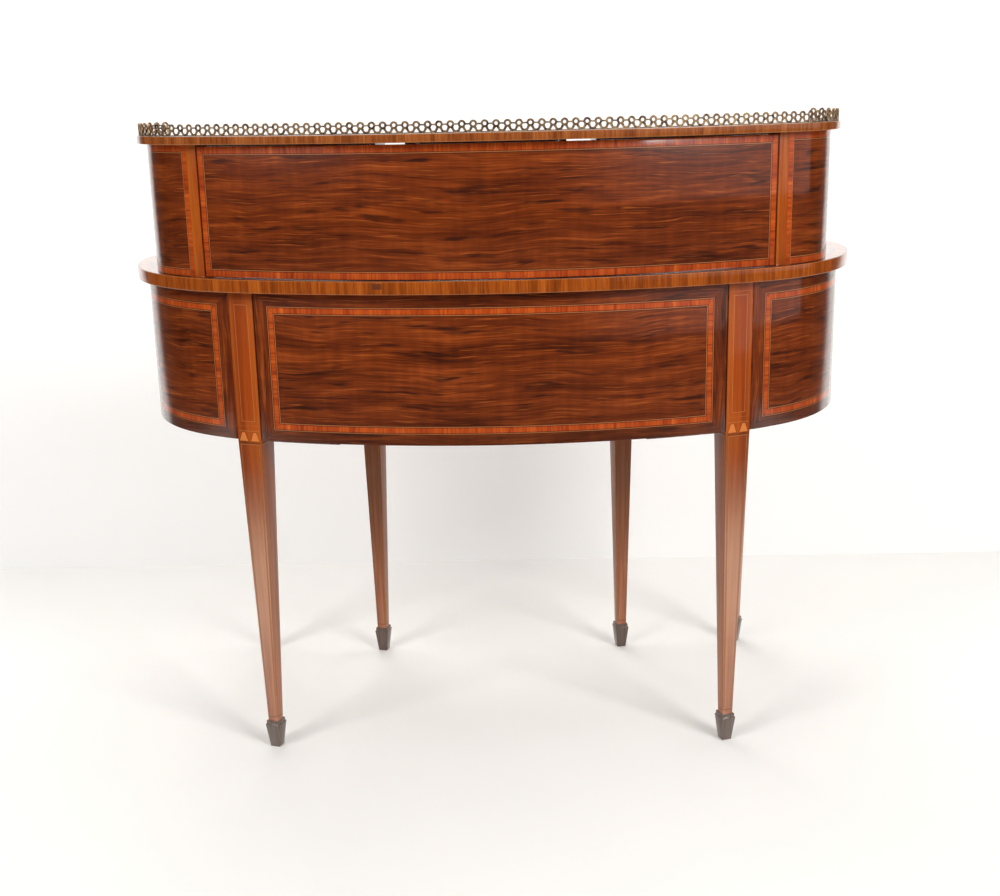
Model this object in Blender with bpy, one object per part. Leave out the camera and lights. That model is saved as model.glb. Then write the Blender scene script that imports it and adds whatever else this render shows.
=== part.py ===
"""Kidney-shaped writing desk with a low superstructure, a pierced brass gallery and six tapering legs.

The front, where the writer sits, faces -Y and the bowed back faces +Y. The floor is at Z = 0.
Every plan curve is a run of tangent arcs, so each piece is cut from the same two kidney outlines.
"""
import math

import bmesh
import bpy
from mathutils import Matrix, Vector

# Clearances and overruns
GAP = 0.0003
REVEAL = 0.0010
JOINT_GAP = 0.0016
RUNNING_GAP = 0.0007
ARC_SAG = 0.00012

# Plan of the writing top
WIDTH = 1.176
BACK_RADIUS = 1.180
END_RADIUS = 0.291
LOBE_RADIUS = 0.216
RECESS_RADIUS = 0.934
BOARD_OVERHANG = 0.017

# Heights of the lower stage
WRITING_HEIGHT = 0.778
BOARD_THICKNESS = 0.020
PANEL_HEIGHT = 0.230
PANEL_THICKNESS = 0.018

# Plan of the upper stage
UPPER_SIDE_STEP = 0.0415
UPPER_BACK_RADIUS = 1.082
UPPER_END_RADIUS = 0.158
UPPER_LOBE_RADIUS = 0.075
UPPER_RECESS_RADIUS = 0.863
UPPER_OVERHANG = 0.015
UPPER_SETBACK = 0.003

# Heights of the upper stage
UPPER_HEIGHT = 0.196
UPPER_PANEL_THICKNESS = 0.014
TOP_THICKNESS = 0.012
TOP_SLIT = 0.0030
FOOT_SLIT = 0.0022

# Legs: square in section, with a spade foot under a collar
BACK_LEG_WIDTH = 0.0405
FRONT_LEG_WIDTH = 0.0370
BACK_LEG_BEFORE_END = math.radians(0.6258)
KNEEHOLE_LEG_SHARE = 0.7206
OUTER_LEG_ANGLE = math.radians(25.2)
ANKLE_WIDTH = 0.0185
COLLAR_WIDTH = 0.0208
FOOT_SHOULDER_WIDTH = 0.0250
FOOT_BASE_WIDTH = 0.0155
FOOT_SHOULDER_HEIGHT = 0.038
FOOT_HEIGHT = 0.046
COLLAR_HEIGHT = 0.007

# Pedestals
PEDESTAL_SIDE_THICKNESS = 0.016
PEDESTAL_BOTTOM_THICKNESS = 0.012
PEDESTAL_BOTTOM_DROP = 0.006
DUST_BOARD_THICKNESS = 0.010
KNEEHOLE_DRAWER_HEIGHT = 0.090

# Drawers
FRONT_THICKNESS = 0.018
LINING_THICKNESS = 0.009
LINING_FLOOR = 0.006
LINING_DROP = 0.012
DRAWER_BACK_ROOM = 0.025

# Superstructure
PILASTER_WIDTH = 0.026
PILASTER_BEFORE_END = math.radians(0.43)
DIVIDER_THICKNESS = 0.006
INNER_DIVIDER_X = 0.1115
OUTER_DIVIDER_X = 0.1600
DIVIDER_SETBACK = 0.002
VALANCE_HEIGHT = 0.028
VALANCE_THICKNESS = 0.008
SHELF_THICKNESS = 0.010
UPPER_DRAWER_HEIGHT = 0.098
UPPER_FRONT_THICKNESS = 0.012
UPPER_LINING_THICKNESS = 0.007
UPPER_BACK_ROOM = 0.016
UPPER_SIDE_ROOM = 0.006

# Leather
LEATHER_THICKNESS = 0.0012
LEATHER_MARGIN = 0.044
LEATHER_BACK_MARGIN = 0.028
LEATHER_END_ANGLE = math.radians(104.0)
CUT_OVERRUN = 0.004

# Gallery
GALLERY_INSET = 0.004
GALLERY_THICKNESS = 0.0016
GALLERY_HEIGHT = 0.0173
GALLERY_BASE = 0.0030
GALLERY_PITCH = 0.0160
GALLERY_RING = 0.0056
GALLERY_RING_HOLE = 0.0025
GALLERY_END_ANGLE = math.radians(145.0)
GALLERY_BAR = 0.0022
GALLERY_CLAW_INNER = 0.0028
GALLERY_CLAW_OUTER = 0.0062

# Ring pulls
PLATE_RADIUS = 0.0150
PLATE_THICKNESS = 0.0015
EYE_RADIUS = 0.0042
EYE_HOLE = 0.0020
EYE_DEPTH = 0.0036
EYE_WIDTH = 0.0040
EYE_RISE = 0.0060
RING_RADIUS = 0.0125
RING_WIRE = 0.0014
KNEEHOLE_PULL_X = 0.128

# Knobs of the upper drawers
KNOB_RADIUS = 0.0085
KNOB_LENGTH = 0.0180
KNOB_NECK = 0.0040
KNOB_FOOT = 0.0070

# Order of the arcs, clockwise from the middle of the back, and the facets of round pieces
CLOCK = {"back": 0, "end": 1, "lobe": 2, "recess": 3}
ROUND_SIDES = 24
EYE_SIDES = 16
RING_STEPS = 20
RING_SIDES = 6
KNOB_SIDES = 16


def on_circle(centre, radius, angle):
    """Plan point on a circle, the angle measured clockwise from +Y as seen from above."""
    return Vector((centre.x + radius * math.sin(angle), centre.y + radius * math.cos(angle)))


class Plan:
    """A kidney outline: a bowed back, two tighter ends, two front lobes and a hollow between them."""

    def __init__(self, width, back, end, lobe, recess, back_y):
        half = width / 2
        self.turn = math.asin((half - end) / (back - end))
        self.wide_y = back_y - back + (back - end) * math.cos(self.turn)
        self.hollow = math.asin((half - lobe) / (recess + lobe))
        recess_y = self.wide_y - (recess + lobe) * math.cos(self.hollow)
        self.arcs = {
            "back": (Vector((0, back_y - back)), back, -1, 0, self.turn),
            "end": (Vector((half - end, self.wide_y)), end, -1, self.turn, math.pi / 2),
            "lobe": (Vector((half - lobe, self.wide_y)), lobe, -1, math.pi / 2, math.pi + self.hollow),
            "recess": (Vector((0, recess_y)), recess, 1, self.hollow, 0),
        }

    def radius(self, name, inset):
        _, radius, sign, _, _ = self.arcs[name]
        return radius + sign * inset

    def point(self, place, inset):
        name, angle = place
        return on_circle(self.arcs[name][0], self.radius(name, inset), angle)

    def run(self, inset, start, stop):
        """Points along the right half of the outline, clockwise from start to stop, inset from the edge."""
        points = []
        for name, (centre, radius, _, low, high) in self.arcs.items():
            if not CLOCK[start[0]] <= CLOCK[name] <= CLOCK[stop[0]]:
                continue
            first = start[1] if name == start[0] else low
            last = stop[1] if name == stop[0] else high
            step = math.sqrt(8 * ARC_SAG / radius)
            count = max(1, math.ceil(abs(last - first) / step))
            for index in range(0 if not points else 1, count + 1):
                angle = first + (last - first) * index / count
                points.append(on_circle(centre, self.radius(name, inset), angle))
        return points

    def meet(self, post, side, clearance, inset):
        """Place nearest to a post where the inset outline crosses one of its sides, moved out by the clearance."""
        found = []
        for name, (centre, _, _, low, high) in self.arcs.items():
            offset = side * (post.width / 2 + clearance) - (centre - post.centre).dot(post.along)
            lean = math.asin(max(-1, min(1, offset / self.radius(name, inset))))
            for swing in (lean, math.pi - lean):
                angle = (post.angle + swing) % (2 * math.pi)
                if min(low, high) <= angle <= max(low, high):
                    away = (self.point((name, angle), inset) - post.centre).length
                    found.append((away, name, angle))
        _, name, angle = min(found)
        return name, angle

    def front_at(self, x, inset):
        """Place on the front of the inset outline at a distance x to the right of the middle."""
        centre, _, _, _, _ = self.arcs["lobe"]
        angle = math.asin(x / self.radius("recess", inset))
        if angle <= self.hollow:
            return "recess", angle
        return "lobe", math.pi - math.asin((x - centre.x) / self.radius("lobe", inset))

    def back_at(self, x, inset):
        """Place on the bowed back of the inset outline at a distance x to the right of the middle."""
        return "back", math.asin(x / self.radius("back", inset))

    def outline(self, inset):
        """The whole closed outline."""
        return whole(self.run(inset, ("back", 0), ("recess", 0)))


class Post:
    """A square upright turned to face the curve that it stands on."""

    def __init__(self, plan, name, angle, width, inset):
        centre, _, sign, _, _ = plan.arcs[name]
        self.arc = name
        self.angle = angle
        self.width = width
        self.radial = Vector((math.sin(angle), math.cos(angle)))
        self.along = Vector((math.cos(angle), -math.sin(angle)))
        self.outward = -sign
        self.centre = centre + self.radial * (plan.radius(name, inset) + sign * width / 2)

    def corner(self, out, side, grow):
        """Plan corner: out is 1 on the show face and -1 inside, side is 1 clockwise and -1 the other way."""
        reach = self.width / 2 + grow
        return self.centre + self.radial * (self.outward * out * reach) + self.along * (side * reach)

    def inner_face_y(self, x, grow):
        """Y of the inner face, moved out by grow, at a given x."""
        point = self.corner(-1, 1, grow)
        return point.y - (x - point.x) * self.radial.x / self.radial.y


def mirrored(points):
    return [Vector((-point.x, point.y)) for point in reversed(points)]


def whole(right_half):
    """Joins a run that starts and ends on the middle line to its mirror image."""
    return right_half + mirrored(right_half)[1:-1]


def spread(half):
    """Joins a run that starts on the middle line to its mirror image, from left to right."""
    return mirrored(half)[:-1] + half


def finish(name, colour, roughness, metallic=0.0):
    """A plain Principled material."""
    material = bpy.data.materials.new(name)
    material.use_nodes = True
    shader = material.node_tree.nodes["Principled BSDF"]
    shader.inputs["Base Color"].default_value = (*colour, 1)
    shader.inputs["Roughness"].default_value = roughness
    shader.inputs["Metallic"].default_value = metallic
    return material


def add_object(name, mesh, material, parent=None):
    """Links a mesh as a named object with its own copy of a finish."""
    own = material.copy()
    own.name = name + "_finish"
    mesh.materials.append(own)
    item = bpy.data.objects.new(name, mesh)
    bpy.context.scene.collection.objects.link(item)
    if parent:
        item.parent = parent
        item.matrix_parent_inverse = Matrix.Translation(-parent.location)
    return item


def to_mesh(name, shape):
    bmesh.ops.recalc_face_normals(shape, faces=shape.faces[:])
    mesh = bpy.data.meshes.new(name)
    shape.to_mesh(mesh)
    shape.free()
    return mesh


def lift(shape, faces, height):
    """Extrudes faces upwards and returns the raised copies."""
    edges = list(dict.fromkeys(edge for face in faces for edge in face.edges))
    result = bmesh.ops.extrude_face_region(shape, geom=faces + edges)
    verts = [item for item in result["geom"] if isinstance(item, bmesh.types.BMVert)]
    bmesh.ops.translate(shape, verts=verts, vec=(0, 0, height))
    return [item for item in result["geom"] if isinstance(item, bmesh.types.BMFace)]


def prism_mesh(name, outline, low, high):
    """A plan outline raised from one height to another."""
    shape = bmesh.new()
    face = shape.faces.new([shape.verts.new((point.x, point.y, low)) for point in outline])
    lift(shape, [face], high - low)
    return to_mesh(name, shape)


def prism(name, outline, low, high, material, parent=None):
    return add_object(name, prism_mesh(name, outline, low, high), material, parent)


def reflect(source, name, parent=None):
    """The left-hand twin of a piece on the right, with its own mesh and finish."""
    mesh = source.data.copy()
    place = source.location.copy()
    mesh.transform(Matrix.Diagonal((-1, 1, 1, 1)))
    mesh.flip_normals()
    mesh.materials.clear()
    twin = add_object(name, mesh, source.data.materials[0], parent)
    twin.location = (-place.x, place.y, place.z)
    twin.data.name = name
    return twin


def slide(name, location):
    """An empty that a drawer's pieces hang from."""
    empty = bpy.data.objects.new(name, None)
    empty.location = location
    bpy.context.scene.collection.objects.link(empty)
    return empty


def leg(name, post, top, taper_top, material):
    """One square leg: spade foot, collar, taper and the straight stile above it."""
    levels = [
        (0, FOOT_BASE_WIDTH),
        (FOOT_SHOULDER_HEIGHT, FOOT_SHOULDER_WIDTH),
        (FOOT_HEIGHT, COLLAR_WIDTH),
        (FOOT_HEIGHT + COLLAR_HEIGHT, COLLAR_WIDTH),
        (FOOT_HEIGHT + COLLAR_HEIGHT, ANKLE_WIDTH),
        (taper_top, post.width),
        (top, post.width),
    ]
    shape = bmesh.new()
    rings = []
    for height, width in levels:
        ring = []
        for out, side in ((1, -1), (1, 1), (-1, 1), (-1, -1)):
            point = post.corner(out, side, (width - post.width) / 2)
            ring.append(shape.verts.new((point.x, point.y, height)))
        rings.append(ring)
    for lower_ring, upper_ring in zip(rings, rings[1:]):
        for index in range(4):
            after = (index + 1) % 4
            corners = (lower_ring[index], lower_ring[after], upper_ring[after], upper_ring[index])
            shape.faces.new(corners)
    shape.faces.new(rings[0])
    shape.faces.new(rings[-1])
    return add_object(name, to_mesh(name, shape), material)


def lining(name, plan, inset, x_outer, x_inner, back_outer, back_inner, low, high, wall, material, parent):
    """Sides, back and bottom of a drawer in one open tray, whose mouth closes on the drawer front."""

    def front(first, last):
        return plan.run(inset, plan.front_at(first, inset), plan.front_at(last, inset))

    outer_strip = front(x_outer, x_outer - wall)
    mouth = front(x_outer - wall, x_inner + wall)
    inner_strip = front(x_inner + wall, x_inner)
    back_right = Vector((x_outer - wall, back_outer - wall))
    back_left = Vector((x_inner + wall, back_inner - wall))
    walls = outer_strip + [back_right, back_left] + inner_strip
    walls += [Vector((x_inner, back_inner)), Vector((x_outer, back_outer))]
    shape = bmesh.new()
    verts = {}

    def vert(point):
        key = (round(point.x, 7), round(point.y, 7))
        if key not in verts:
            verts[key] = shape.verts.new((point.x, point.y, low))
        return verts[key]

    wall_face = shape.faces.new([vert(point) for point in walls])
    floor_face = shape.faces.new([vert(point) for point in mouth + [back_left, back_right]])
    raised = lift(shape, [wall_face, floor_face], LINING_FLOOR)
    rim = [face for face in raised if len(face.verts) == len(walls)]
    rim.sort(key=lambda face: face.calc_area())
    lift(shape, rim[:1], high - low - LINING_FLOOR)
    return add_object(name, to_mesh(name, shape), material, parent)


def frame_at(point, angle, height):
    """Frame on a front: X along the surface, -Y straight out of it, Z up."""
    return Matrix.Translation((point.x, point.y, height)) @ Matrix.Rotation(angle, 4, "Z")


def facing(plan, x, inset):
    """Plan point on a front at x, and the turn about Z that faces a fitting outwards there."""
    place = plan.front_at(x, inset)
    name, angle = place
    turn = -angle if name == "recess" else math.pi - angle
    return plan.point(place, inset), turn


def disc(shape, radius, sides, near, far):
    """A short cylinder along Y."""
    loops = []
    for y in (near, far):
        ring = []
        for index in range(sides):
            angle = 2 * math.pi * index / sides
            ring.append(shape.verts.new((radius * math.sin(angle), y, radius * math.cos(angle))))
        loops.append(ring)
    skin(shape, loops)
    shape.faces.new(loops[0])
    shape.faces.new(loops[1])


def skin(shape, loops, closed=False):
    """Quads between neighbouring loops of equal length."""
    pairs = list(zip(loops, loops[1:]))
    if closed:
        pairs.append((loops[-1], loops[0]))
    for first, second in pairs:
        for index in range(len(first)):
            after = (index + 1) % len(first)
            shape.faces.new((first[index], first[after], second[after], second[index]))


def ring_pull(name, plan, x, height, material, parent):
    """A round back plate with an eye, and the ring that hangs in it on a hinge along the front."""
    hand = math.copysign(1, x)
    point, turn = facing(plan, abs(x), BOARD_OVERHANG)
    place = frame_at(Vector((hand * point.x, point.y)), hand * turn, height)
    shape = bmesh.new()
    disc(shape, PLATE_RADIUS, ROUND_SIDES, -GAP, -GAP - PLATE_THICKNESS)
    plate_mesh = to_mesh(name + "_plate", shape)
    plate_mesh.transform(place)
    plate = add_object(name + "_plate", plate_mesh, material, parent)

    eye_y = -GAP - PLATE_THICKNESS - EYE_DEPTH
    shape = bmesh.new()
    loops = []
    for radius, x_side in ((EYE_RADIUS, -1), (EYE_RADIUS, 1), (EYE_HOLE, 1), (EYE_HOLE, -1)):
        ring = []
        for index in range(EYE_SIDES):
            angle = 2 * math.pi * index / EYE_SIDES
            across = eye_y + radius * math.cos(angle)
            rise = EYE_RISE + radius * math.sin(angle)
            ring.append(shape.verts.new((x_side * EYE_WIDTH / 2, across, rise)))
        loops.append(ring)
    skin(shape, loops, closed=True)
    eye_mesh = to_mesh(name + "_eye_guide", shape)
    eye_mesh.transform(place)
    eye = add_object(name + "_eye_guide", eye_mesh, material)
    eye.hide_render = True
    eye.display_type = "WIRE"
    union = plate.modifiers.new("eye", "BOOLEAN")
    union.operation = "UNION"
    union.solver = "EXACT"
    union.object = eye

    shape = bmesh.new()
    loops = []
    for step in range(RING_STEPS):
        around = 2 * math.pi * step / RING_STEPS
        ring = []
        for index in range(RING_SIDES):
            angle = 2 * math.pi * index / RING_SIDES
            reach = RING_RADIUS + RING_WIRE * math.cos(angle)
            across = RING_WIRE * math.sin(angle)
            rise = reach * math.cos(around) - RING_RADIUS
            ring.append(shape.verts.new((reach * math.sin(around), across, rise)))
        loops.append(ring)
    skin(shape, loops, closed=True)
    ring_mesh = to_mesh(name + "_ring", shape)
    ring_mesh.transform(Matrix.Rotation(hand * turn, 4, "Z"))
    hung = add_object(name + "_ring", ring_mesh, material, parent)
    hung.location = place @ Vector((0, eye_y, EYE_RISE))


def knob(name, plan, x, height, material, parent):
    """A small turned knob with a spread foot, a neck and a rounded head."""
    hand = math.copysign(1, x)
    point, turn = facing(plan, abs(x), UPPER_OVERHANG)
    head_centre = KNOB_LENGTH - KNOB_RADIUS
    profile = [(KNOB_FOOT, 0), (KNOB_FOOT, KNOB_NECK / 4), (KNOB_NECK, KNOB_NECK)]
    profile.append((KNOB_NECK, head_centre / 2))
    for degrees in (-50, -20, 10, 40, 65):
        angle = math.radians(degrees)
        profile.append((KNOB_RADIUS * math.cos(angle), head_centre + KNOB_RADIUS * math.sin(angle)))
    shape = bmesh.new()
    loops = []
    for radius, out in profile:
        ring = []
        for index in range(KNOB_SIDES):
            angle = 2 * math.pi * index / KNOB_SIDES
            ring.append(shape.verts.new((radius * math.sin(angle), -GAP - out, radius * math.cos(angle))))
        loops.append(ring)
    skin(shape, loops)
    shape.faces.new(loops[0])
    shape.faces.new(loops[-1])
    mesh = to_mesh(name, shape)
    mesh.transform(frame_at(Vector((hand * point.x, point.y)), hand * turn, height))
    return add_object(name, mesh, material, parent)


def gallery_unit(pitch):
    """One repeat of the pierced gallery as flat cells: a ring on two claws over a base strip."""
    half = pitch / 2
    facet = math.pi / 8
    ring_height = GALLERY_HEIGHT - GALLERY_RING * math.cos(facet)
    rim = []
    for index in range(8):
        angle = facet * (2 * index + 1)
        rim.append((GALLERY_RING * math.cos(angle), ring_height + GALLERY_RING * math.sin(angle)))
    hole = []
    for index in range(4):
        angle = math.pi / 2 * index
        hole.append((GALLERY_RING_HOLE * math.cos(angle), ring_height + GALLERY_RING_HOLE * math.sin(angle)))
    throat = (0, rim[5][1])
    claw_in, claw_out = GALLERY_CLAW_INNER, GALLERY_CLAW_OUTER
    cells = [(rim[7], rim[0], hole[0]), (rim[1], rim[2], hole[1]), (rim[3], rim[4], hole[2]),
             (rim[5], throat, rim[6], hole[3])]
    for index in range(4):
        after = (index + 1) % 4
        cells.append((rim[2 * index], rim[2 * index + 1], hole[after], hole[index]))
    for side in (1, -1):
        cells.append((throat, (side * claw_in, GALLERY_BASE), (side * claw_out, GALLERY_BASE),
                      rim[6] if side > 0 else rim[5]))
    base = [(-half, 0), (half, 0), (half, GALLERY_BASE)]
    base += [(x, GALLERY_BASE) for x in (claw_out, claw_in, -claw_in, -claw_out, -half)]
    cells.append(base)
    waist = GALLERY_BAR / 2
    bar = (rim[7], (half, ring_height - waist), (rim[4][0] + pitch, rim[4][1]),
           (rim[3][0] + pitch, rim[3][1]), (half, ring_height + waist), rim[0])
    return cells, bar


def gallery(name, plan, bottom, material):
    """The pierced strip bent round the back and both ends of the top board."""
    middle = GALLERY_INSET + GALLERY_THICKNESS / 2
    stretches = []
    for arc in ("back", "end", "lobe"):
        _, _, _, low, high = plan.arcs[arc]
        stop = GALLERY_END_ANGLE if arc == "lobe" else high
        stretches.append((arc, low, stop, plan.radius(arc, middle)))
    length = sum(radius * (stop - low) for _, low, stop, radius in stretches)
    count = round(2 * length / GALLERY_PITCH)
    pitch = 2 * length / count

    def place(run, inset):
        left = abs(run)
        for arc, low, stop, radius in stretches:
            if left <= radius * (stop - low) or arc == "lobe":
                point = plan.point((arc, low + left / radius), inset)
                return math.copysign(point.x, run), point.y
            left -= radius * (stop - low)

    shape = bmesh.new()
    verts = {}

    def pair(run, height):
        key = (round(run, 6), round(height, 6))
        if key not in verts:
            pairs = []
            for inset in (GALLERY_INSET, GALLERY_INSET + GALLERY_THICKNESS):
                x, y = place(run, inset)
                pairs.append(shape.verts.new((x, y, bottom + height)))
            verts[key] = pairs
        return verts[key]

    edges = {}
    cells, bar = gallery_unit(pitch)
    for unit in range(count):
        centre = (unit + 0.5) * pitch - length
        for cell in cells + ([bar] if unit < count - 1 else []):
            corners = [pair(centre + run, height) for run, height in cell]
            shape.faces.new([corner[0] for corner in corners])
            shape.faces.new([corner[1] for corner in reversed(corners)])
            for first, second in zip(corners, corners[1:] + corners[:1]):
                key = frozenset((first[0], second[0]))
                edges.setdefault(key, []).append((first, second))
    for sides in edges.values():
        if len(sides) == 1:
            first, second = sides[0]
            shape.faces.new((first[0], first[1], second[1], second[0]))
    return add_object(name, to_mesh(name, shape), material)


for item in list(bpy.data.objects):
    bpy.data.objects.remove(item, do_unlink=True)

# Finishes, as the photographed wood and metal read in plain light
MAHOGANY = finish("mahogany", (0.16, 0.035, 0.012), 0.28)
STILE = finish("stile_mahogany", (0.30, 0.085, 0.028), 0.30)
LEG_WOOD = finish("leg_mahogany", (0.24, 0.085, 0.045), 0.32)
EDGE_WOOD = finish("edge_mahogany", (0.36, 0.12, 0.045), 0.30)
LINING_WOOD = finish("cedar_lining", (0.42, 0.22, 0.10), 0.55)
LEATHER = finish("tooled_leather", (0.035, 0.085, 0.045), 0.50)
BRASS = finish("aged_brass", (0.42, 0.29, 0.13), 0.38, 1.0)

# Heights that pieces share
board_low = WRITING_HEIGHT - BOARD_THICKNESS
carcass_low = board_low - PANEL_HEIGHT
carcass_high = board_low - GAP
upper_low = WRITING_HEIGHT + GAP
upper_top = WRITING_HEIGHT + UPPER_HEIGHT
upper_high = upper_top - GAP
top_surface = upper_top + TOP_THICKNESS

# The two outlines, placed so that the desk's overall box is centred on the origin
turn_back = math.asin((WIDTH / 2 - END_RADIUS) / (BACK_RADIUS - END_RADIUS))
lower_depth = BACK_RADIUS - (BACK_RADIUS - END_RADIUS) * math.cos(turn_back) + LOBE_RADIUS
back_reach = UPPER_OVERHANG - UPPER_SETBACK
back_y = (lower_depth - back_reach) / 2
lower = Plan(WIDTH, BACK_RADIUS, END_RADIUS, LOBE_RADIUS, RECESS_RADIUS, back_y)
upper = Plan(WIDTH - 2 * UPPER_SIDE_STEP, UPPER_BACK_RADIUS, UPPER_END_RADIUS, UPPER_LOBE_RADIUS,
             UPPER_RECESS_RADIUS, back_y + back_reach)

# Uprights
face = BOARD_OVERHANG
inner = face + PANEL_THICKNESS
inside = inner + GAP
back_leg = Post(lower, "back", lower.turn - BACK_LEG_BEFORE_END, BACK_LEG_WIDTH, face)
outer_leg = Post(lower, "lobe", math.pi - OUTER_LEG_ANGLE, FRONT_LEG_WIDTH, face)
kneehole_leg = Post(lower, "recess", lower.hollow * KNEEHOLE_LEG_SHARE, FRONT_LEG_WIDTH, face)
for label, post in (("back_leg", back_leg), ("outer_front_leg", outer_leg), ("kneehole_leg", kneehole_leg)):
    right = leg(label + "_right", post, carcass_high, carcass_low, LEG_WOOD)
    reflect(right, label + "_left")

# Lower panels
half_outer = lower.run(face, ("back", 0), lower.meet(back_leg, -1, JOINT_GAP, face))
half_inner = lower.run(inner, ("back", 0), lower.meet(back_leg, -1, JOINT_GAP, inner))
prism("lower_back_panel", spread(half_outer) + spread(half_inner)[::-1], carcass_low, carcass_high, MAHOGANY)
band_outer = lower.run(face, lower.meet(back_leg, 1, GAP, face), lower.meet(outer_leg, -1, GAP, face))
band_inner = lower.run(inner, lower.meet(back_leg, 1, GAP, inner), lower.meet(outer_leg, -1, GAP, inner))
side = prism("lower_side_panel_right", band_outer + band_inner[::-1], carcass_low, carcass_high, MAHOGANY)
reflect(side, "lower_side_panel_left")

# Pedestal inner sides, between the kneehole legs and the back panel
side_out = kneehole_leg.corner(-1, 1, 0).x
side_in = side_out - PEDESTAL_SIDE_THICKNESS
bottom_low = carcass_low - PEDESTAL_BOTTOM_DROP
bottom_high = bottom_low + PEDESTAL_BOTTOM_THICKNESS
inner_side_outline = [
    lower.point(lower.back_at(side_in, inside), inside),
    lower.point(lower.back_at(side_out, inside), inside),
    Vector((side_out, kneehole_leg.inner_face_y(side_out, GAP))),
    Vector((side_in, kneehole_leg.inner_face_y(side_in, GAP))),
]
side = prism("pedestal_inner_side_right", inner_side_outline, bottom_low, carcass_high, MAHOGANY)
reflect(side, "pedestal_inner_side_left")

# Boards that close the pedestals below and between the drawers, notched round the legs
board_x = side_out + GAP
board_outline = lower.run(inside, lower.back_at(board_x, inside), lower.meet(back_leg, -1, GAP, inside))
board_outline += [back_leg.corner(-1, -1, GAP), back_leg.corner(-1, 1, GAP)]
board_outline += lower.run(inside, lower.meet(back_leg, 1, GAP, inside),
                           lower.meet(outer_leg, -1, GAP, inside))
board_outline += [outer_leg.corner(-1, -1, GAP), outer_leg.corner(-1, 1, GAP)]
board_outline += lower.run(face, lower.meet(outer_leg, 1, GAP, face), lower.meet(kneehole_leg, 1, GAP, face))
board_outline += [kneehole_leg.corner(-1, 1, GAP)]
dust_low = (bottom_high + board_low - DUST_BOARD_THICKNESS) / 2
dust_high = dust_low + DUST_BOARD_THICKNESS
for label, low, high in (("pedestal_bottom", bottom_low, bottom_high),
                         ("pedestal_dust_board", dust_low, dust_high)):
    board = prism(label + "_right", board_outline, low, high, EDGE_WOOD)
    reflect(board, label + "_left")

# Board under the kneehole drawer
rail_high = board_low - KNEEHOLE_DRAWER_HEIGHT - REVEAL
rail_low = rail_high - DUST_BOARD_THICKNESS
rail_x = side_in - GAP
half = lower.run(inside, ("back", 0), lower.back_at(rail_x, inside))
half += [Vector((rail_x, kneehole_leg.inner_face_y(rail_x, GAP))), kneehole_leg.corner(-1, -1, GAP)]
half += lower.run(face, lower.meet(kneehole_leg, -1, GAP, face), ("recess", 0))
prism("kneehole_dust_board", whole(half), rail_low, rail_high, EDGE_WOOD)

# Pedestal drawers, with one ring pull each
lining_outer = outer_leg.corner(-1, 1, 0).x - RUNNING_GAP
lining_inner = side_out + RUNNING_GAP
lining_back = back_leg.corner(-1, 1, 0).y - DRAWER_BACK_ROOM
front_back = face + FRONT_THICKNESS
pull_x = (lining_outer + lining_inner) / 2
front_outer = lower.run(face, lower.meet(outer_leg, 1, REVEAL, face),
                        lower.meet(kneehole_leg, 1, REVEAL, face))
front_inner = lower.run(front_back, lower.meet(outer_leg, 1, REVEAL, front_back),
                        lower.meet(kneehole_leg, 1, REVEAL, front_back))
pull_point, _ = facing(lower, pull_x, face)
for tier, low, high in (("lower", bottom_high, dust_low), ("upper", dust_high, board_low)):
    base = "pedestal_" + tier + "_drawer"
    middle = (low + high) / 2
    holders = {}
    for hand, sign in (("right", 1), ("left", -1)):
        holders[hand] = slide(base + "_slide_" + hand, (sign * pull_point.x, pull_point.y, middle))
        ring_pull(base + "_pull_" + hand, lower, sign * pull_x, middle, BRASS, holders[hand])
    front = prism(base + "_front_right", front_outer + front_inner[::-1], low + REVEAL, high - REVEAL,
                  MAHOGANY, holders["right"])
    reflect(front, base + "_front_left", holders["left"])
    tray = lining(base + "_lining_right", lower, front_back + GAP, lining_outer, lining_inner, lining_back,
                  lining_back, low + GAP, high - LINING_DROP, LINING_THICKNESS, LINING_WOOD, holders["right"])
    reflect(tray, base + "_lining_left", holders["left"])

# Kneehole drawer, with two ring pulls
knee_x = kneehole_leg.corner(1, -1, 0).x - REVEAL
knee_middle = (rail_high + board_low) / 2
knee_slide = slide("kneehole_drawer_slide", (0, lower.point(("recess", 0), face).y, knee_middle))
half_front = lower.run(face, lower.front_at(knee_x, face), ("recess", 0))[::-1]
half_rear = lower.run(front_back, lower.front_at(knee_x, front_back), ("recess", 0))[::-1]
prism("kneehole_drawer_front", spread(half_front) + spread(half_rear)[::-1], rail_high + REVEAL,
      board_low - REVEAL, MAHOGANY, knee_slide)
lining("kneehole_drawer_lining", lower, front_back + GAP, knee_x, -knee_x, lining_back, lining_back,
       rail_high + GAP, board_low - LINING_DROP, LINING_THICKNESS, LINING_WOOD, knee_slide)
for hand, sign in (("right", 1), ("left", -1)):
    ring_pull("kneehole_drawer_pull_" + hand, lower, sign * KNEEHOLE_PULL_X, knee_middle, BRASS, knee_slide)

# Writing top with its shallow bed, and the leather that lies in it


def leather_outline(grow):
    """Leather panel between the superstructure and the front of the top."""
    rear = upper.run(UPPER_OVERHANG - LEATHER_BACK_MARGIN + grow, ("lobe", math.pi), ("recess", 0))[::-1]
    front_edge = lower.run(LEATHER_MARGIN - grow, ("lobe", LEATHER_END_ANGLE), ("recess", 0))
    return whole(rear + front_edge)


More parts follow.
